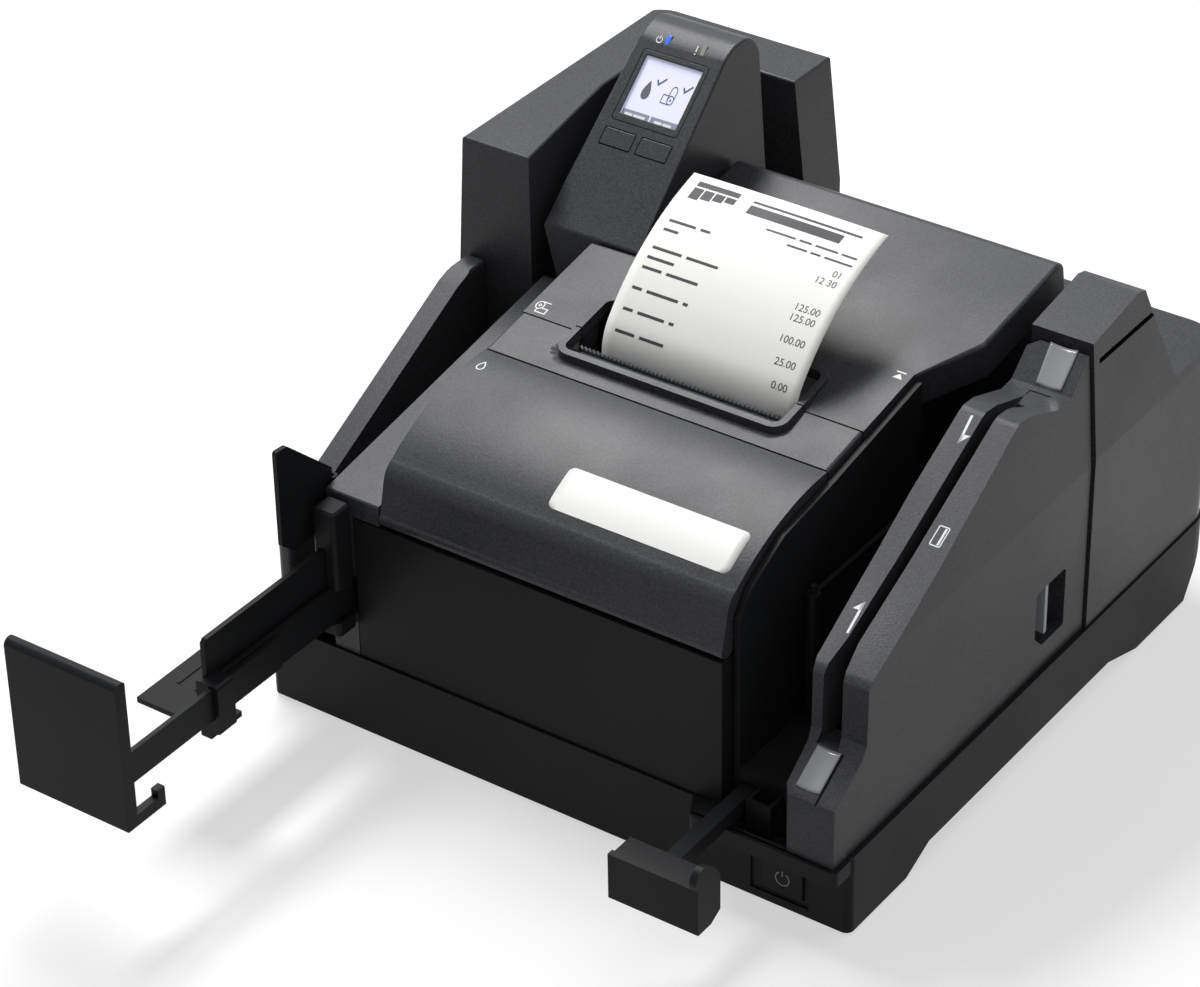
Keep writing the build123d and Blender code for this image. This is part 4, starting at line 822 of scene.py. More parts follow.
# ------------------------------------------------------------------------------ sub-assemblies
@dataclass
class LowerCase:
    """Base moulding with its feet and power button."""

    edge: float = 0.9
    button_edge: float = 0.5
    button: tuple[float, float] = (95.8, 12.1)
    button_face: float = -0.2
    ring_radius: float = 2.65
    gap: tuple[float, float] = (120.0, 420.0)
    bar: tuple[float, float] = (0.9, 3.2)
    line: float = 0.45

    def build(self) -> None:
        """Softens the base and the button and prints the power mark."""
        skin("base", self.edge)
        skin("power_button", self.button_edge)
        self.power_mark()

    def power_mark(self) -> None:
        """A ring broken at its top with a short bar in the gap, on the button's front face."""
        x, z = self.button

        def front_face(u: Array, v: Array) -> Array:
            """Width and height on the button's upright face."""
            return at(u, self.button_face - PRINT_LIFT, v)

        mark = Print("power_mark", front_face, GREY_INK, "power_button")
        mark.stroke(ring((x, z), (self.ring_radius, self.ring_radius), *self.gap, 31), self.line)
        mark.stroke([(x, z + end) for end in self.bar], self.line)
        mark.publish("lever_grey")


@dataclass
class FrontCover:
    """Hinged cover over the ink bay, with its bare label and the ink mark."""

    edge: float = 1.0
    label: tuple[float, float, float, float] = (-6.6, 65.6, 12.2, 27.2)
    label_corner: float = 2.4
    label_lift: float = 0.04
    label_film: float = 0.08
    ink_mark: tuple[float, float, float] = (-63.6, 54.0, 2.3)
    ink_line: float = 0.4

    def build(self) -> None:
        """Softens the cover and lays the label and the mark on it."""
        sides = [Round((x - 0.4, 0.2, 92.0), (x + 0.4, 63.4, 130.3), 2.2) for x in (-69.0, 71.0)]
        foot = Round((-69.5, 0.2, 92.0), (71.5, 1.2, 93.5), 1.2)
        skin("front_cover", self.edge, rounds=[*sides, foot])
        self.bare_label()
        mark = Print("ink_mark", brow_surface(PRINT_LIFT), WHITE_INK, "front_cover")
        mark.stroke(drop(*self.ink_mark), self.ink_line, closed=True)
        mark.publish()

    def bare_label(self) -> None:
        """The label's film: rows across it end on its rounded outline, so its corners are round.

        At share t of its depth the film's ends draw in by the corner's radius less the
        corner circle's half-width there.
        """
        x0, x1, y0, y1 = self.label
        radius = self.label_corner
        depth = np.concatenate([
            y0 + radius * (1 - np.cos(np.linspace(0, pi / 2, 8))),
            np.linspace(y0 + radius, y1 - radius, 12)[1:-1],
            y1 - radius * (1 - np.cos(np.linspace(pi / 2, 0, 8))),
        ])
        near = np.minimum(depth - y0, y1 - depth)
        inset = radius - np.sqrt(np.maximum(radius**2 - np.maximum(radius - near, 0) ** 2, 0))
        across = np.linspace(0, 1, 24)
        x = (x0 + inset)[:, None] + across * (x1 - x0 - 2 * inset)[:, None]
        y = np.repeat(depth[:, None], len(across), axis=1)
        mesh = mesh_of("label_film", brow_surface(self.label_lift)(x, y), grid_faces(*x.shape))
        thicken(publish("label_film", mesh, LABEL_FILM, "front_cover"), self.label_film, 1.0)


@dataclass
class PrinterTop:
    """Fixed exit frame and the hinged roll cover, with their marks."""

    edge: float = 1.0
    roll_mark: tuple[float, float] = (-64.0, 90.6)
    open_mark: tuple[float, float] = (66.6, 115.4)
    line: float = 0.4
    core_line: float = 0.35
    bar_line: float = 0.6

    def build(self) -> None:
        """Softens both covers, each long edge to its own radius, and prints the marks."""
        frame_edges = [
            Round((-69.5, 63.5, 129.0), (-68.6, 85.2, 134.0), 1.2),
            Round((70.6, 63.5, 129.0), (71.5, 85.2, 134.0), 1.2),
        ]
        skin("exit_frame", self.edge, rounds=frame_edges)
        cover_edges = [
            Round((-69.6, 86.5, 132.9), (-48.8, 196.0, 153.5), 1.4),
            Round((70.6, 86.5, 132.9), (86.0, 196.0, 153.5), 1.4),
            Round((-49.5, 188.5, 150.5), (85.6, 196.0, 153.5), 1.4),
        ]
        skin("roll_cover", self.edge, rounds=cover_edges)
        self.print_roll_mark()
        self.print_open_mark()

    def print_roll_mark(self) -> None:
        """A paper roll seen from its end, with its web drawn under a slot."""
        x, y = self.roll_mark
        roll = (x - 1.4, y + 0.6)
        mark = Print("roll_mark", deck_surface(PRINT_LIFT), WHITE_INK, BODY_OF["roll_cover"])
        mark.stroke(ring(roll, (1.5, 1.9)), self.line)
        mark.stroke(ring(roll, (0.4, 0.5)), self.core_line)
        mark.stroke([(x - 1.2, y + 2.6), (x + 2.0, y + 2.6)], self.line)
        web = [(0.1, -0.6), (2.6, -0.6), (2.6, -3.0), (-1.4, -3.0), (-1.4, -1.4)]
        mark.stroke([(x + across, y + along) for across, along in web], self.line)
        mark.publish()

    def print_open_mark(self) -> None:
        """A solid triangle that points to a bar: lift here."""
        x, y = self.open_mark
        half = 1.9
        mark = Print("open_mark", deck_surface(PRINT_LIFT), WHITE_INK, BODY_OF["roll_cover"])
        mark.fill([(x - half, y - half), (x + half, y - half), (x, y + 0.6)])
        mark.stroke([(x - half, y + 1.4), (x + half, y + 1.4)], self.bar_line)
        mark.publish()


@dataclass
class ExitStacker:
    """Left-hand pocket where the cheques come out, with its sliding guide and end plate."""

    edge: float = 0.7
    thin_edge: float = 0.45

    def build(self) -> None:
        """Softens the pocket's mouldings."""
        shoulder = [
            Round((-92.5, 1.5, 97.5), (-91.5, 129.8, 119.8), 1.8),
            Round((-70.0, 1.5, 97.5), (-69.2, 129.8, 119.8), 1.2),
        ]
        skin("shoulder_case", self.edge, rounds=shoulder)
        skin("exit_post", self.edge)
        plate = Round((-127.8, -125.0, 35.0), (-79.0, -119.0, 94.0), 1.1)
        skin("exit_end_plate", self.edge, rounds=[plate])
        for node in ("exit_pocket", "exit_guide", "exit_flap"):
            skin(node, self.thin_edge, 2)


@dataclass
class EntryFeeder:
    """Right-hand pocket where the cheques go in, with its sliding support."""

    pocket_edge: float = 0.45
    tray_edge: float = 0.7
    panel_edge: float = 0.5

    def build(self) -> None:
        """Softens the pocket, its support and the panel beside them."""
        skin("entry_pocket", self.pocket_edge, 2)
        skin("entry_tray", self.tray_edge, rounds=[Round((63.5, -55.5, 26.5), (99.7, -41.8, 45.5), 1.4)])
        skin("front_panel", self.panel_edge)


@dataclass
class SwipeTower:
    """Swing-out cover on the right with the card slot along its top."""

    edge: float = 0.8
    arrow_width: float = 0.9
    head: float = 2.7
    slot_wall: float = 108.5
    rail_run: tuple[float, float] = (24.0, 118.0)
    rail_drop: float = 3.4
    rail_half: float = 0.45
    rail_bulge: float = 0.6
    rail_wall: float = 0.25
    ramp_lift: float = 0.08
    ramp_dish: float = 0.55
    ramp_wall: float = 0.5
    card_at: tuple[float, float] = (113.2, 65.4)
    card_half: tuple[float, float] = (1.9, 3.4)

    def build(self) -> None:
        """Softens the cover, lays polished strips with a painted sheen on the card's ramps and prints the
        arrows and the card mark.
        """
        rounds = [
            Round((116.4, -8.2, 55.0), (120.8, 155.4, 144.0), 1.9),
            Round((93.6, -8.2, 55.0), (102.4, 155.4, 144.0), 1.8),
            Round((102.5, 5.0, 88.0), (112.2, 150.0, 144.0), 0.8),
            Round((99.9, -8.2, 31.5), (120.8, -4.6, 57.8), 1.4),
        ]
        skin("swipe_cover", self.edge, rounds=rounds)
        self.ramp("front_ramp", [(-5.0, 57.5), (8.2, 65.6)], (103.6, 112.6), (103.6, 112.6))
        self.ramp("rear_ramp", [(143.2, 133.5), (155.2, 143.2)], (103.4, 113.0), (102.0, 112.6))
        self.card_rail()
        self.arrow("front_arrow", (103.1, 25.6), (102.4, 37.4))
        self.arrow("rear_arrow", (100.4, 107.4), (101.6, 95.6))
        self.card_mark()

    def ramp(
        self,
        name: str,
        run: Sequence[tuple[float, float]],
        low: tuple[float, float],
        high: tuple[float, float],
    ) -> None:
        """A dished, card-polished strip on a ramp, its sheen painted as a light grey colour.

        A point runs straight between the ramp's ends and across it, and stands above the
        ramp by the square of its distance from the strip's middle.

        Args:
            name: the piece's name.
            run: the ramp's (depth, height) ends.
            low: the strip's widths at its first end.
            high: the strip's widths at its last end.
        """
        along, across = np.meshgrid(np.linspace(0, 1, 14), np.linspace(0, 1, 12), indexing="ij")
        left = low[0] + (high[0] - low[0]) * along
        right = low[1] + (high[1] - low[1]) * along
        y = run[0][0] + (run[1][0] - run[0][0]) * along
        z = run[0][1] + (run[1][1] - run[0][1]) * along
        rise = self.ramp_lift + self.ramp_dish * (2 * across - 1) ** 2
        self.polished(name, at(left + (right - left) * across, y, z + rise), self.ramp_wall)

    @staticmethod
    def polished(name: str, points: Array, wall: float) -> None:
        """Publishes a grid of points as a strip that cards have polished, its sheen painted as a light grey
        colour.

        Args:
            name: the piece's name.
            points: the grid, of shape (rows, columns, 3).
            wall: the strip's thickness.
        """
        mesh = mesh_of(name, points, grid_faces(*points.shape[:2]))
        # The strip's light grey finish is painted sheen over the card-worn charcoal.
        thicken(publish(name, mesh, POLISHED_ABS_PAINTED_SHEEN, "swipe_cover_assembly"), wall, -1.0)

    def card_rail(self) -> None:
        """A narrow polished rail on the slot's right wall, which the card's edge rides past, its sheen
        painted as a light grey colour.

        Its line is the ridge's line lowered by the rail's depth; across it the rail bulges
        into the slot as a half cosine.
        """
        along, across = np.meshgrid(np.linspace(*self.rail_run, 48), np.linspace(-1, 1, 7), indexing="ij")
        top = ridge_height(along) - self.rail_drop
        x = self.slot_wall - 0.1 - self.rail_bulge * np.cos(across * pi / 2)
        self.polished("card_rail", at(x, along, top + self.rail_half * across), self.rail_wall)

    def arrow(self, name: str, tail: tuple[float, float], tip: tuple[float, float]) -> None:
        """A printed arrow: a shaft with a head on one side only.

        Args:
            name: the piece's name.
            tail: where the shaft starts.
            tip: where the head ends.
        """
        tail_at, tip_at = np.array(tail), np.array(tip)
        way = (tip_at - tail_at) / np.linalg.norm(tip_at - tail_at)
        side = np.array([-way[1], way[0]])
        neck = tip_at - way * self.head * 1.25
        mark = Print(name, ridge_surface(PRINT_LIFT), WHITE_INK, "swipe_cover_assembly")
        edge = side * self.arrow_width / 2
        mark.patch([tail_at - edge, tail_at + edge, tip_at + edge - way, tip_at - edge], (2, 8))
        mark.fill([tip_at - edge, neck + side * self.head, neck - edge])
        mark.publish()

    def card_mark(self) -> None:
        """A card's outline with the band along its edge."""
        (x, y), (half_x, half_y) = self.card_at, self.card_half
        mark = Print("card_mark", ridge_surface(PRINT_LIFT), WHITE_INK, "swipe_cover_assembly")
        mark.stroke(rounded(x - half_x, x + half_x, y - half_y, y + half_y, 0.5), 0.4, closed=True)
        mark.block(x + 0.5, x + 1.3, y - 3.0, y + 3.0, (2, 8))
        mark.publish()


@dataclass
class DisplayTower:
    """Upright housing with the small lit display, two keys and two status lights."""

    edge: float = 0.8
    bezel_edge: float = 0.3
    key_edge: float = 0.35
    screen: tuple[float, float, float, float] = (-83.3, -59.1, 164.6, 184.2)
    screen_lift: float = -1.12
    drop_size: float = 2.9
    tick_line: float = 0.6
    roll_line: float = 0.32
    core_line: float = 0.25
    bar_height: float = 2.7
    bar_gap: float = 0.3
    word_rows: tuple[float, float] = (1.2, 2.1)
    lights: tuple[float, float] = (-77.7, -62.7)
    light_y: float = 189.4
    glow_half: tuple[float, float] = (0.8, 2.0)
    glow_rise: float = 0.22

    def build(self) -> None:
        """Softens the mouldings, then lays the display's contents and the lit lens on them."""
        rounds = [
            Round((-53.2, 129.5, 140.5), (-50.0, 213.2, 200.0), 2.2),
            Round((-92.0, 129.5, 140.5), (-89.2, 213.2, 200.0), 2.2),
            Round((-92.0, 129.5, 141.0), (-50.0, 130.5, 142.0), 1.5),
        ]
        skin("display_tower", self.edge, rounds=rounds)
        skin("display_bezel", self.bezel_edge, 2)
        skin("left_key", self.key_edge, 2)
        skin("right_key", self.key_edge, 2)
        self.screen_marks()
        self.screen_bars()
        self.lit_lens()
        self.light_marks()

    def screen_marks(self) -> None:
        """A drop and a paper roll, each ticked: both supplies are in."""
        x0, x1, y0, y1 = self.screen
        mid, y = (x0 + x1) / 2, y0 + 0.50 * (y1 - y0)
        dark = Print("display_marks", face_surface(self.screen_lift), LCD_SHADE, "chassis")
        drop_x, roll_x = x0 + 5.8, mid + 4.4
        dark.fill(drop(drop_x, y, self.drop_size))
        for x in (drop_x + 3.4, mid + 8.4):
            dark.stroke([(x - 1.0, y + 3.6), (x, y + 2.3), (x + 2.4, y + 4.6)], self.tick_line)
        dark.stroke(ring((roll_x, y + 1.6), (1.25, 1.5), -10, 190, 17), self.roll_line)
        for side, foot in ((-1.25, -1.2), (1.25, -0.6)):
            dark.stroke([(roll_x + side, y + 1.5), (roll_x + side, y + foot)], self.roll_line)
        dark.stroke(ring((roll_x, y - 1.0), (1.2, 1.3)), self.roll_line)
        dark.stroke(ring((roll_x, y - 1.0), (0.25, 0.3)), self.core_line)
        web = [(-1.3, 0.2), (-3.6, 0.2), (-3.6, -2.3), (-0.1, -2.3)]
        for run in zip(web, web[1:]):
            dark.stroke([(roll_x + across, y + along) for across, along in run], self.roll_line)
        dark.publish("screen_glass")

    def screen_bars(self) -> None:
        """Two bars along the screen's foot, over the keys, with light bars for their words."""
        x0, x1, y0, _ = self.screen
        mid, gap, foot = (x0 + x1) / 2, self.bar_gap, y0 + self.bar_gap
        bars = Print("display_bars", face_surface(self.screen_lift), LCD_BAR, "chassis")
        for left, right in ((x0 + gap, mid - 0.35), (mid + 0.35, x1 - gap)):
            bars.block(left, right, foot, foot + self.bar_height)
        bars.publish("screen_glass")
        words = Print("display_words", face_surface(self.screen_lift + PRINT_LIFT), WHITE_INK, "chassis")
        low, high = (y0 + row for row in self.word_rows)
        for start, length in ((x0 + 1.5, 3.4), (x0 + 5.4, 4.8), (mid + 2.2, 3.2), (mid + 5.9, 3.6)):
            words.block(start, start + length, low, high)
        words.publish("screen_glass")

    def lit_lens(self) -> None:
        """Blue glow over the left lens: a shallow pillow on the lens's slot.

        Its height falls across the lens as 1 less the square and along it as 1 less the fourth
        power of the share of the half-length. Past three fifths of that half-length its width
        draws in as a quarter ellipse.
        """
        across, along = np.meshgrid(np.linspace(-1, 1, 9), np.linspace(-1, 1, 13), indexing="ij")
        straight = 0.6
        pillow = self.glow_rise * (1 - across**2) * (1 - along**4)
        past = np.maximum(np.abs(along) - straight, 0) / (1 - straight)
        reach = np.sqrt(np.maximum(1 - past**2, 0.0))
        x = self.lights[0] + self.glow_half[0] * across * reach
        y = self.light_y + self.glow_half[1] * along * cos(DISPLAY_ANGLE)
        surface = face_surface(0.02)(x, y)
        normal = np.array([0, -sin(DISPLAY_ANGLE), cos(DISPLAY_ANGLE)]) * MM
        mesh = mesh_of("power_light", surface + pillow[..., None] * normal, grid_faces(*across.shape))
        shade(publish("power_light", mesh, BLUE_LIGHT, "chassis"))

    def light_marks(self) -> None:
        """A broken ring beside the left light and an alert stroke beside the right one."""
        y, line = self.light_y - 0.6, 0.35
        mark = Print("light_marks", face_surface(PRINT_LIFT), WHITE_INK, "chassis")
        x = self.lights[0] - 3.6
        mark.stroke(ring((x, y), (1.15, 0.95), 125, 415, 25), line)
        mark.stroke([(x, y + 0.1), (x, y + 1.2)], line)
        x = self.lights[1] - 2.6
        mark.stroke([(x, y - 0.4), (x, y + 1.4)], line + 0.1)
        mark.fill(ring((x, y - 1.1), (0.3, 0.25), count=9)[:-1])
        mark.publish()


@dataclass
class RearHousings:
    """The two housings over the turn of the paper path, and the sockets under them."""

    edge: float = 0.8
    socket_places: tuple = ((-54, -40, 13, 26), (-30, -14, 13, 26), (-6, 8, 13, 24), (16, 30, 13, 20))
    socket_root: float = 239.0
    socket_face: float = 248.5
    socket_depth: float = 6.0
    socket_wall: float = 0.9
    socket_corner: float = 1.5
    insert_depth: float = 2.0
    insert_corner: float = 0.4
    contact_half: float = 0.35
    contacts_each: int = 6

    def build(self) -> None:
        """Softens the housings."""
        right_edges = [
            Round((93.0, 156.0, 140.0), (122.0, 240.0, 150.0), 1.6),
            Round((117.0, 156.0, 31.5), (121.6, 157.0, 148.0), 1.5),
            Round((-43.0, 227.0, 104.5), (107.0, 252.5, 106.5), 1.6),
        ]
        skin("rear_right_case", self.edge, rounds=right_edges)
        left_edges = [
            Round((-129.0, 127.3, 31.5), (-95.5, 128.3, 167.5), 1.5),
            Round((-49.0, 227.0, 31.5), (-42.5, 252.5, 166.5), 1.5),
        ]
        skin("rear_left_case", self.edge, rounds=left_edges)
        self.sockets()

    def sockets(self) -> None:
        """Stamped shells open to the back, each with a moulded insert and its row of contacts."""
        shells = self.joined("socket_shells", [self.hollow(place) for place in self.socket_places])
        steel = publish("socket_shells", shells, CONNECTOR_STEEL, "chassis")
        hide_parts("rear_connectors")
        shade(steel)
        inserts = self.joined("socket_inserts", [self.block(place) for place in self.socket_places])
        shade(publish("socket_inserts", inserts, CHIP_EPOXY, "chassis"))

        def insert_face(u: Array, v: Array) -> Array:
            """Width and height on the inserts' back faces."""
            return at(u, self.socket_face - self.insert_depth + PRINT_LIFT, v)

        contacts = Print("socket_contacts", insert_face, CONTACT_GILT, "chassis")
        for x0, x1, z0, z1 in self.socket_places:
            for x in np.linspace(x0 + 4.2, x1 - 4.2, self.contacts_each):
                contacts.block(x - self.contact_half, x + self.contact_half, z0 + 3.6, z1 - 3.2)
        contacts.publish("connector_steel")

    def hollow(self, place: Sequence[float]) -> tuple[Array, list]:
        """A rounded tube with a floor: rings of one outline, drawn in by the wall at the mouth.

        Args:
            place: the shell's lowest and highest width, then height.

        Returns:
            Its points, and its faces with the root and the floor closed.
        """
        x0, x1, z0, z1 = place
        wall, face = self.socket_wall, self.socket_face
        outside = ((0.0, self.socket_root), (0.0, face))
        inside = ((wall, face), (wall, face - self.socket_depth))
        rings = []
        for inset, depth in outside + inside:
            line = rounded(x0 + inset, x1 - inset, z0 + inset, z1 - inset, self.socket_corner - inset)
            rings.append(at(line[:, 0], depth, line[:, 1]))
        return self.capped(rings)

    def block(self, place: Sequence[float]) -> tuple[Array, list]:
        """The insert inside a shell: a rounded block from the floor to short of the mouth.

        Args:
            place: the shell's lowest and highest width, then height.

        Returns:
            Its points and its faces.
        """
        x0, x1, z0, z1 = place
        line = rounded(x0 + 3.0, x1 - 3.0, z0 + 2.6, z1 - 2.2, self.insert_corner)
        depths = (self.socket_face - self.socket_depth - 0.2, self.socket_face - self.insert_depth)
        return self.capped([at(line[:, 0], depth, line[:, 1]) for depth in depths])

    @staticmethod
    def capped(rings: Sequence[Array]) -> tuple[Array, list]:
        """Joins rings by quads and closes the first and the last with one face each.

        Args:
            rings: outlines with equally many points.

        Returns:
            The points and the faces.
        """
        count = len(rings[0])
        faces = grid_faces(len(rings), count, wrap=True).tolist()
        faces += [list(range(count)), list(range((len(rings) - 1) * count, len(rings) * count))]
        return np.vstack(rings), faces

    @staticmethod
    def joined(name: str, solids: Sequence[tuple[Array, list]]) -> bpy.types.Mesh:
        """One mesh of several solids, each solid's faces counted on from those before it.

        Args:
            name: the mesh's name.
            solids: the points and the faces of each.

        Returns:
            The mesh.
        """
        starts = np.cumsum([0] + [len(points) for points, _ in solids])
        faces = [[v + start for v in face] for start, (_, part) in zip(starts, solids) for face in part]
        return mesh_of(name, np.vstack([points for points, _ in solids]), faces)


DIGIT_SHARE = 0.69  # height of a digit of the built-in face set at size 1


@dataclass
class Receipt:
    """The printed strip: straight out of the exit, then two bends backwards."""

    left: float = -35.0
    right: float = 44.5
    foot: tuple[float, float] = (85.1, 119.0)
    rise: float = 9.5
    bends: tuple[tuple[float, float], tuple[float, float]] = ((19.4, 40.0), (97.7, 37.0))
    cross_curl: float = 0.5
    curl_from: float = 30.0
    curl_run: float = 50.0
    paper: float = 0.1
    print_lift: float = 0.09
    word_gap: float = 2.0
    digit_height: float = 2.6

    @property
    def length(self) -> float:
        """Length of the strip along its middle."""
        return self.rise + sum(radius * radians(turn) for radius, turn in self.bends)

    def surface(self, lift: float = 0.0) -> Surface:
        """The strip as a surface of width and distance from its top end.

        Along the strip the heading starts upright and turns backwards: nothing over the
        rise, then distance over radius in each bend. The place is the sum of the runs before
        it plus radius times the change of the heading's sine and cosine. The lift moves the
        point out of the bends, and the free end's sides curl by the square of the width.

        Args:
            lift: how far above the paper the points lie.

        Returns:
            The surface of (width, distance from the top).
        """

        def point(x: Array, from_top: Array) -> Array:
            """One point of the strip for each width and distance from the top.

            Args:
                x: widths.
                from_top: distances from the top end.

            Returns:
                The points, by the rule of the method that this surface comes from.
            """
            s = self.length - np.asarray(from_top, float)
            y = np.full(np.shape(s), self.foot[0])
            z = self.foot[1] + np.minimum(s, self.rise)
            heading = np.full(np.shape(s), pi / 2)
            done = self.rise
            for radius, turn in self.bends:
                part = np.clip(s - done, 0, radius * radians(turn))
                after = heading - part / radius
                y = y + radius * (np.sin(heading) - np.sin(after))
                z = z + radius * (np.cos(after) - np.cos(heading))
                heading = after
                done += radius * radians(turn)
            free = smooth((s - self.curl_from) / self.curl_run)
            share = (np.asarray(x) - (self.left + self.right) / 2) / ((self.right - self.left) / 2)
            out = lift - self.cross_curl * free * share**2
            return at(x, y - out * np.sin(heading), z + out * np.cos(heading))

        return point

    def build(self) -> None:
        """Makes the strip and its print."""
        widths, downs = np.linspace(self.left, self.right, 24), np.linspace(0, self.length, 72)
        across, down = np.meshgrid(widths, downs, indexing="ij")
        mesh = mesh_of("receipt_paper", self.surface()(across, down), grid_faces(*across.shape))
        paper = publish("receipt_paper", mesh, THERMAL_PAPER, BODY_OF["receipt_strip"])
        thicken(paper, self.paper, 0.0)
        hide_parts("receipt_strip")
        self.lines()

    def lines(self) -> None:
        """Generic print: a header block, a heading bar, bars for words, and plain numbers."""
        body = BODY_OF["receipt_strip"]
        ink = Print("receipt_print", self.surface(self.print_lift), THERMAL_PRINT, body)

        def bar(x: float, down: float, length: float, height: float) -> None:
            """One bar, its left end at x and its top edge so far down the strip."""
            steps = (max(2, int(length / 3) + 2), max(2, int(height) + 2))
            ink.block(x, x + length, down + height, down, steps)

        left = self.left + 3.0
        bar(left + 1.5, 3.2, 17.5, 2.4)
        for step in range(4):
            bar(left + 1.5 + 4.5 * step, 6.4, 4.0, 5.4 - 0.9 * step)
        bar(left + 25.0, 4.4, 44.0, 1.0)
        bar(left + 25.0, 6.6, 38.0, 4.0)
        for row, words in enumerate(((12, 5, 9, 6), (8, 4, 11))):
            x = self.right - 4.0 - sum(words) - 1.5 * (len(words) - 1)
            for word in words:
                bar(x, 14.0 + 3.4 * row, word, 0.8)
                x += word + 1.5
        rows = [
            (21.8, (11, 4), "01"),
            (25.8, (6,), "12 30"),
            (33.6, (12, 13), ""),
            (37.6, (11,), "125.00"),
            (41.6, (8, 13), "125.00"),
            (49.6, (4, 13, 2), "100.00"),
            (57.6, (4, 11, 2), "25.00"),
            (65.6, (8, 10), "0.00"),
        ]
        for down, words, number in rows:
            x = left + 1.0
            for word in words:
                bar(x, down + 0.5, word, 1.1)
                x += word + self.word_gap
            if number:
                self.number(ink, number, self.right - 5.0, down + 2.2, self.digit_height)
        ink.publish()

    @staticmethod
    def number(ink: Print, text: str, right: float, baseline: float, height: float) -> None:
        """Plain digits, their outlines taken from the built-in face and laid on the strip.

        Args:
            ink: the print that they join.
            text: digits, points and spaces.
            right: where the last digit ends.
            baseline: how far down the strip the digits stand.
            height: height of a digit.
        """
        curve = bpy.data.curves.new("digits", "FONT")
        curve.body, curve.align_x = text, "RIGHT"
        holder = bpy.data.objects.new("digits", curve)
        bpy.context.scene.collection.objects.link(holder)
        graph = bpy.context.evaluated_depsgraph_get()
        flat = bpy.data.meshes.new_from_object(holder.evaluated_get(graph))
        co = np.zeros(len(flat.vertices) * 3)
        flat.vertices.foreach_get("co", co)
        co = co.reshape(-1, 3) * height / DIGIT_SHARE
        start = sum(len(p) for p in ink.points)
        ink.points.append(ink.surface(right + co[:, 0], baseline - co[:, 1]))
        ink.faces.extend([start + v for v in face.vertices] for face in flat.polygons)
        bpy.data.objects.remove(holder)
        bpy.data.meshes.remove(flat)
        bpy.data.curves.remove(curve)


# ------------------------------------------------------------------------------ dressing
def dress_cad() -> None:
    """Gives every CAD node that still shows the finish of its material slot."""
    for node, piece in FRAME["nodes"].items():
        if piece.hide_render:
            continue
        finish = SLOT_FINISH[SLOT_OF[node]].make()
        if piece.material_slots:
            piece.material_slots[0].material = finish
        else:
            piece.data.materials.append(finish)
        LOG.info("%s wears %s", node, finish.name)


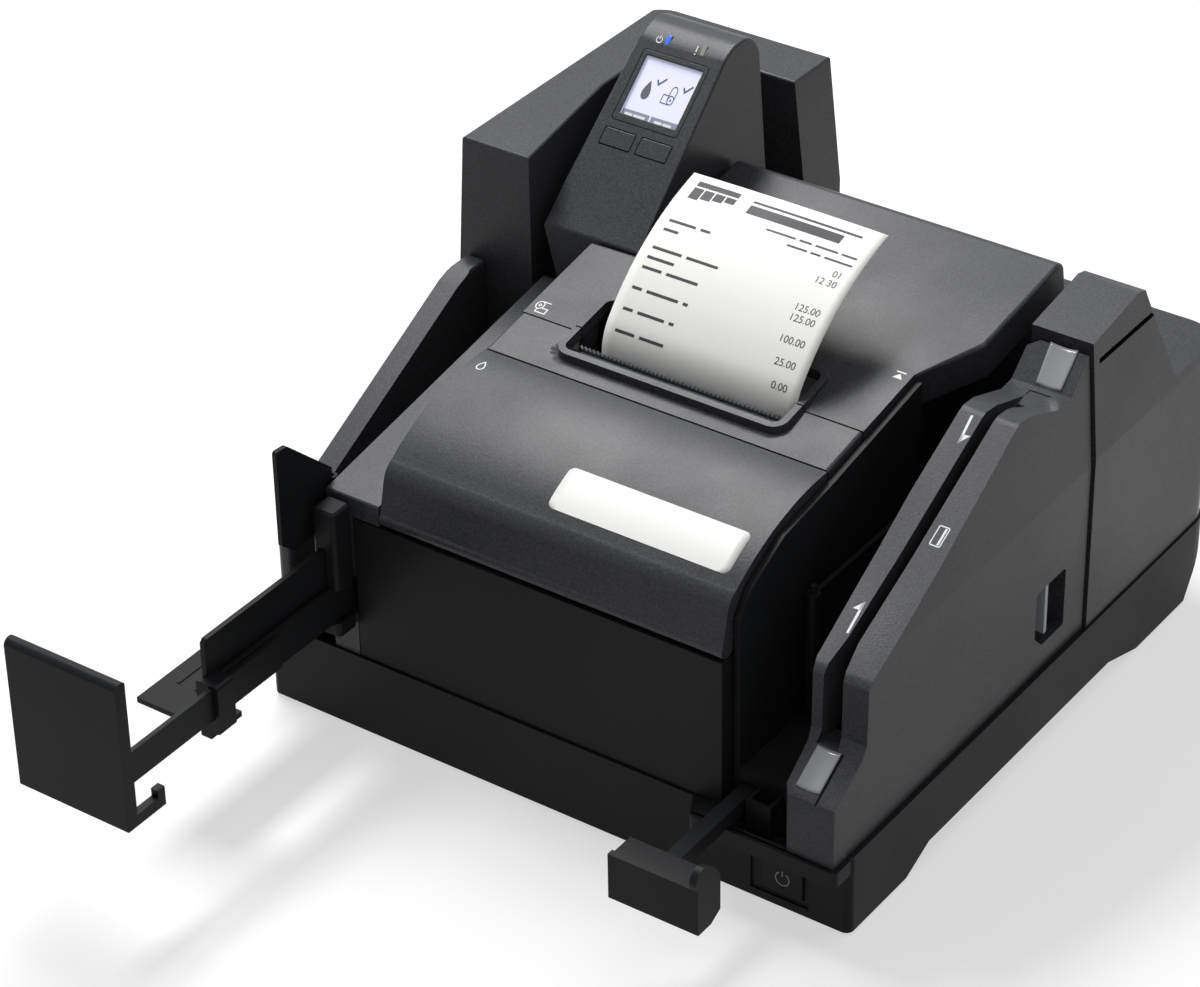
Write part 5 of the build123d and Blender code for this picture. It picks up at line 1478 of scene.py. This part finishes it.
# ------------------------------------------------------------------------------ studio
@dataclass(frozen=True)
class Studio:
    """Pale floor, soft lamps and the camera.

    The camera's place is read from the datum in millimetres and its turn in degrees; its
    focal length is in pixels of an image 1200 wide.
    """

    eye: tuple[float, float, float] = (658.6, -881.8, 860.5)
    yaw: float = 35.73
    pitch: float = 33.590
    roll: float = -1.102
    focal_px: float = 4040.0
    image_width: float = 1200.0
    sensor_mm: float = 36.0
    clip: tuple[float, float] = (0.05, 20.0)
    floor_half: float = 6.0
    floor_colour: str = "b8b8b8"
    floor_lift: float = 0.57
    world_light: float = 0.20
    lamp_aim: tuple[float, float, float] = (0.0, 0.05, 0.12)

    def build(self) -> None:
        """Makes the camera, the floor, the lamps and the world."""
        self.camera()
        self.floor()
        self.lamps()
        self.world()
        bpy.context.scene.view_settings.view_transform = "Standard"

    def camera(self) -> None:
        """Places the camera: its axes are the yawed and pitched view axes, rolled about the view."""
        yaw, pitch, roll = (radians(v) for v in (self.yaw, self.pitch, self.roll))
        ahead = Vector((-sin(yaw) * cos(pitch), cos(yaw) * cos(pitch), -sin(pitch)))
        level = Vector((cos(yaw), sin(yaw), 0))
        upright = level.cross(ahead)
        right = cos(roll) * level + sin(roll) * upright
        up = -sin(roll) * level + cos(roll) * upright
        data = bpy.data.cameras.new("camera")
        data.sensor_width = self.sensor_mm
        data.lens = self.focal_px * self.sensor_mm / self.image_width
        data.clip_start, data.clip_end = self.clip
        camera = bpy.data.objects.new("camera", data)
        bpy.context.scene.collection.objects.link(camera)
        turn = Matrix((right, up, -ahead)).transposed().to_4x4()
        camera.matrix_world = Matrix.Translation(Vector(at(*self.eye))) @ turn
        bpy.context.scene.camera = camera

    def floor(self) -> None:
        """A wide pale floor under the rubber feet."""
        half = self.floor_half
        corners = [(-half, -half, 0), (half, -half, 0), (half, half, 0), (-half, half, 0)]
        mesh = bpy.data.meshes.new("floor")
        mesh.from_pydata(corners, [], [(0, 1, 2, 3)])
        floor = bpy.data.objects.new("floor", mesh)
        bpy.context.scene.collection.objects.link(floor)
        mesh.materials.append(self.laminate())

    @staticmethod
    def seen_directly(tree: bpy.types.NodeTree) -> bpy.types.NodeSocket:
        """Tells the rays that see a thing from those that only carry its light.

        Args:
            tree: the node tree of the floor or the world.

        Returns:
            A socket that is 1 for camera, glossy and transmission rays and 0 for the rest.
        """
        path = add_node(tree, "ShaderNodeLightPath")
        seen = path.outputs["Is Camera Ray"]
        for ray in ("Is Glossy Ray", "Is Transmission Ray"):
            either = add_node(tree, "ShaderNodeMath", {0: seen, 1: path.outputs[ray]}, operation="MAXIMUM")
            seen = either.outputs[0]
        return seen

    def laminate(self) -> bpy.types.Material:
        """Makes the floor's matt white laminate.

        Its own shade holds the shadow, and its glow lifts it to white where it is seen.

        Returns:
            The material.
        """
        material = bpy.data.materials.new("matt white laminate")
        material.use_nodes = True
        tree = material.node_tree
        tree.nodes.clear()
        board = add_node(tree, "ShaderNodeBsdfDiffuse", {"Color": linear(self.floor_colour)})
        seen = {"Value": self.seen_directly(tree), "To Max": self.floor_lift}
        level = add_node(tree, "ShaderNodeMapRange", seen).outputs[0]
        glow = add_node(tree, "ShaderNodeEmission", {"Color": (1, 1, 1, 1), "Strength": level})
        both = add_node(tree, "ShaderNodeAddShader", {0: board.outputs[0], 1: glow.outputs[0]})
        add_node(tree, "ShaderNodeOutputMaterial", {"Surface": both.outputs[0]})
        return material

    def lamps(self) -> None:
        """Hangs three softboxes, each a place and a size in metres and a power in watts.

        The long strip at the left runs its sheen over every top; the others fill.
        """
        boxes = {
            "strip_softbox": ((-0.72, 0.42, 1.38), (1.1, 0.36), 26.0),
            "overhead_softbox": ((0.35, 0.35, 1.55), (0.8, 0.8), 3.0),
            "front_fill": ((1.2, -1.5, 0.8), (0.8, 0.8), 1.5),
        }
        for name, (place, size, power) in boxes.items():
            data = bpy.data.lights.new(name, "AREA")
            data.shape, data.energy = "RECTANGLE", power
            data.size, data.size_y = size
            lamp = bpy.data.objects.new(name, data)
            bpy.context.scene.collection.objects.link(lamp)
            back = (Vector(place) - Vector(self.lamp_aim)).normalized()
            depth = (Vector((0, 1, 0)) - back * back.y).normalized()
            turn = Matrix((depth, back.cross(depth), back)).transposed().to_4x4()
            lamp.matrix_world = Matrix.Translation(Vector(place)) @ turn

    def world(self) -> None:
        """White where the camera or a reflection sees it, and a quiet grey as light."""
        world = bpy.data.worlds.new("studio")
        world.use_nodes = True
        bpy.context.scene.world = world
        tree = world.node_tree
        tree.nodes.clear()
        seen = {"Value": self.seen_directly(tree), "To Min": self.world_light, "To Max": 1.0}
        level = add_node(tree, "ShaderNodeMapRange", seen).outputs[0]
        light = add_node(tree, "ShaderNodeBackground", {"Color": (1, 1, 1, 1), "Strength": level})
        add_node(tree, "ShaderNodeOutputWorld", {"Surface": light.outputs[0]})


def main() -> None:
    """Builds the scanner's sub-assemblies in order, dresses the rest and sets up the studio."""
    logging.basicConfig(level=logging.INFO, format="%(message)s")
    Studio().build()
    assemblies = (
        LowerCase(),
        FrontCover(),
        PrinterTop(),
        ExitStacker(),
        EntryFeeder(),
        SwipeTower(),
        DisplayTower(),
        RearHousings(),
        Receipt(),
    )
    for assembly in assemblies:
        assembly.build()
        LOG.info("%s done", type(assembly).__name__)
    dress_cad()


if __name__ == "__main__":
    main()
